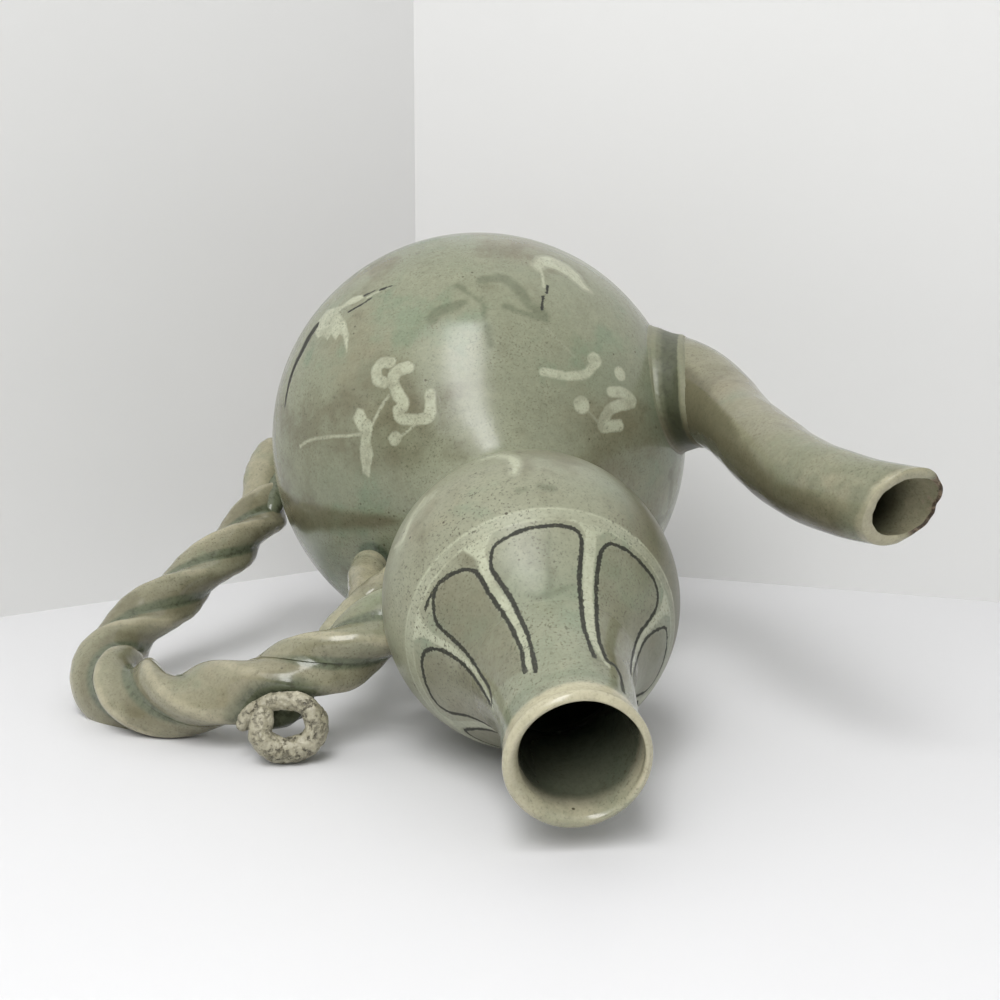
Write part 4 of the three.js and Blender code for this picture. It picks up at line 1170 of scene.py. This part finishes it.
# --------------------------------------------------------- camera and stage
right = Vector((0.937297, -0.326913, 0.120818))
up = Vector((0.348128, 0.861647, -0.369286))
back = Vector((0.016622, 0.388192, 0.921429))
eye = Vector((7.62, 165.28, 509.73)) * MM
cam_data = bpy.data.cameras.new("camera")
cam_data.lens = 50.42
cam_data.sensor_width = 36.0
cam_data.clip_start, cam_data.clip_end = 0.01, 100
cam = bpy.data.objects.new("camera", cam_data)
scene.collection.objects.link(cam)
cam.matrix_world = Matrix(((right.x, up.x, back.x, eye.x), (right.y, up.y, back.y, eye.y), (right.z, up.z, back.z, eye.z), (0, 0, 0, 1)))
scene.camera = cam

table_n = Vector((0.3471, 0.9069, -0.2389)).normalized()
table_p = Vector((0, 0, 62.04 * MM)) - table_n * 70.3 * MM
t1 = (right - table_n * right.dot(table_n)).normalized()
t2 = table_n.cross(t1)
if t2.dot(back) > 0:
    t2 = -t2


def on_table(x, z, y):
    """The point of the table straight under or over a point given in millimetres."""
    p = Vector((x, y, z)) * MM
    return p - table_n * (p - table_p).dot(table_n)


def stage_material(name, colour, rough):
    m, nt, bsdf = new_material(name)
    k = N(nt)
    pos = k.node("ShaderNodeTexCoord").outputs["Object"]
    c = k.mix(k.ramp(k.noise(pos, 3.0, 3.0), 0.3, 0.7), rgba(colour), rgba([x * 0.975 for x in colour]))
    nt.links.new(c, bsdf.inputs["Base Color"])
    bsdf.inputs["Roughness"].default_value = rough
    geo = k.node("ShaderNodeNewGeometry")
    lp = k.node("ShaderNodeLightPath")
    clear = k.node("ShaderNodeBsdfTransparent")
    mix = k.node("ShaderNodeMixShader")
    nt.links.new(k.math("MULTIPLY", geo.outputs["Backfacing"], lp.outputs["Is Camera Ray"]), mix.inputs[0])
    nt.links.new(bsdf.outputs[0], mix.inputs[1])
    nt.links.new(clear.outputs[0], mix.inputs[2])
    out = [n for n in nt.nodes if n.type == "OUTPUT_MATERIAL"][0]
    nt.links.new(mix.outputs[0], out.inputs[0])
    return m


def quad(name, pts, mat, facing):
    me = bpy.data.meshes.new(name)
    me.from_pydata([tuple(p) for p in pts], [], [(0, 1, 2, 3)])
    ob = bpy.data.objects.new(name, me)
    ob.data.materials.append(mat)
    scene.collection.objects.link(ob)
    if ob.data.polygons[0].normal.dot(facing) < 0:
        ob.data.flip_normals()
    return ob


def lay(x, yv, z=0.0):
    return table_p + t1 * x + t2 * yv + table_n * z


floor_mat = stage_material("floor", (0.72, 0.72, 0.73), 0.5)
wall_mat = stage_material("wall", (0.72, 0.72, 0.71), 0.8)
corner = on_table(-48, -88, -98)
left_dir = (on_table(-192, 19, -15) - corner).normalized()
right_dir = (on_table(169, 40, -148) - corner).normalized()
quad("floor", [lay(-3, -3), lay(3, -3), lay(3, 3), lay(-3, 3)], floor_mat, table_n)
high = table_n * 1.6
quad("wall_left", [corner, corner + left_dir * 1.2, corner + left_dir * 1.2 + high, corner + high], wall_mat, back)
quad("wall_right", [corner, corner + right_dir * 1.6, corner + right_dir * 1.6 + high, corner + high], wall_mat, back)


def area(name, where, target, size, power, colour=(1, 1, 1)):
    d = bpy.data.lights.new(name, "AREA")
    d.shape = "RECTANGLE"
    d.size, d.size_y = size
    d.energy = power
    d.color = colour
    o = bpy.data.objects.new(name, d)
    where = Vector(where)
    z = (where - Vector(target)).normalized()
    x = right - z * right.dot(z)
    x.normalize()
    yv = z.cross(x)
    o.matrix_world = Matrix(((x.x, yv.x, z.x, where.x), (x.y, yv.y, z.y, where.y), (x.z, yv.z, z.z, where.z), (0, 0, 0, 1)))
    scene.collection.objects.link(o)
    return o


centre = Vector((0, 0, 0.12))
window = (right * -0.13 + up * 0.62 + back * 0.77).normalized()
area("window", centre + window * 1.0, centre, (0.30, 0.92), 6.0)
area("window_soft", centre + (window - right * 0.10).normalized() * 1.02, centre, (0.62, 1.0), 3.0)
soft = area("soft_left", centre + (right * -0.85 + up * 0.62 + back * 0.25).normalized() * 1.3, centre, (0.9, 0.9), 0.46)
soft.visible_glossy = False

world = bpy.data.worlds.new("world")
world.use_nodes = True
wk = N(world.node_tree)
sky = world.node_tree.nodes["Background"]
sky.inputs[0].default_value = (0.93, 0.93, 0.93, 1)
dot = wk.node("ShaderNodeVectorMath", operation="DOT_PRODUCT")
wk.put(dot.inputs[0], wk.node("ShaderNodeTexCoord").outputs["Generated"])
dot.inputs[1].default_value = tuple(table_n)
level = wk.ramp(dot.outputs["Value"], 0.05, 0.75, 0.10, 0.72)
# the handle's bend sinks a little into the floor: this lights that part in views from below
level = wk.math("ADD", level, wk.ramp(dot.outputs["Value"], -0.10, -0.40, 0.0, 0.45))
seen = wk.node("ShaderNodeLightPath").outputs["Is Camera Ray"]
wk.put(sky.inputs[1], wk.math("MAXIMUM", level, wk.mul(seen, 0.75)))
scene.world = world
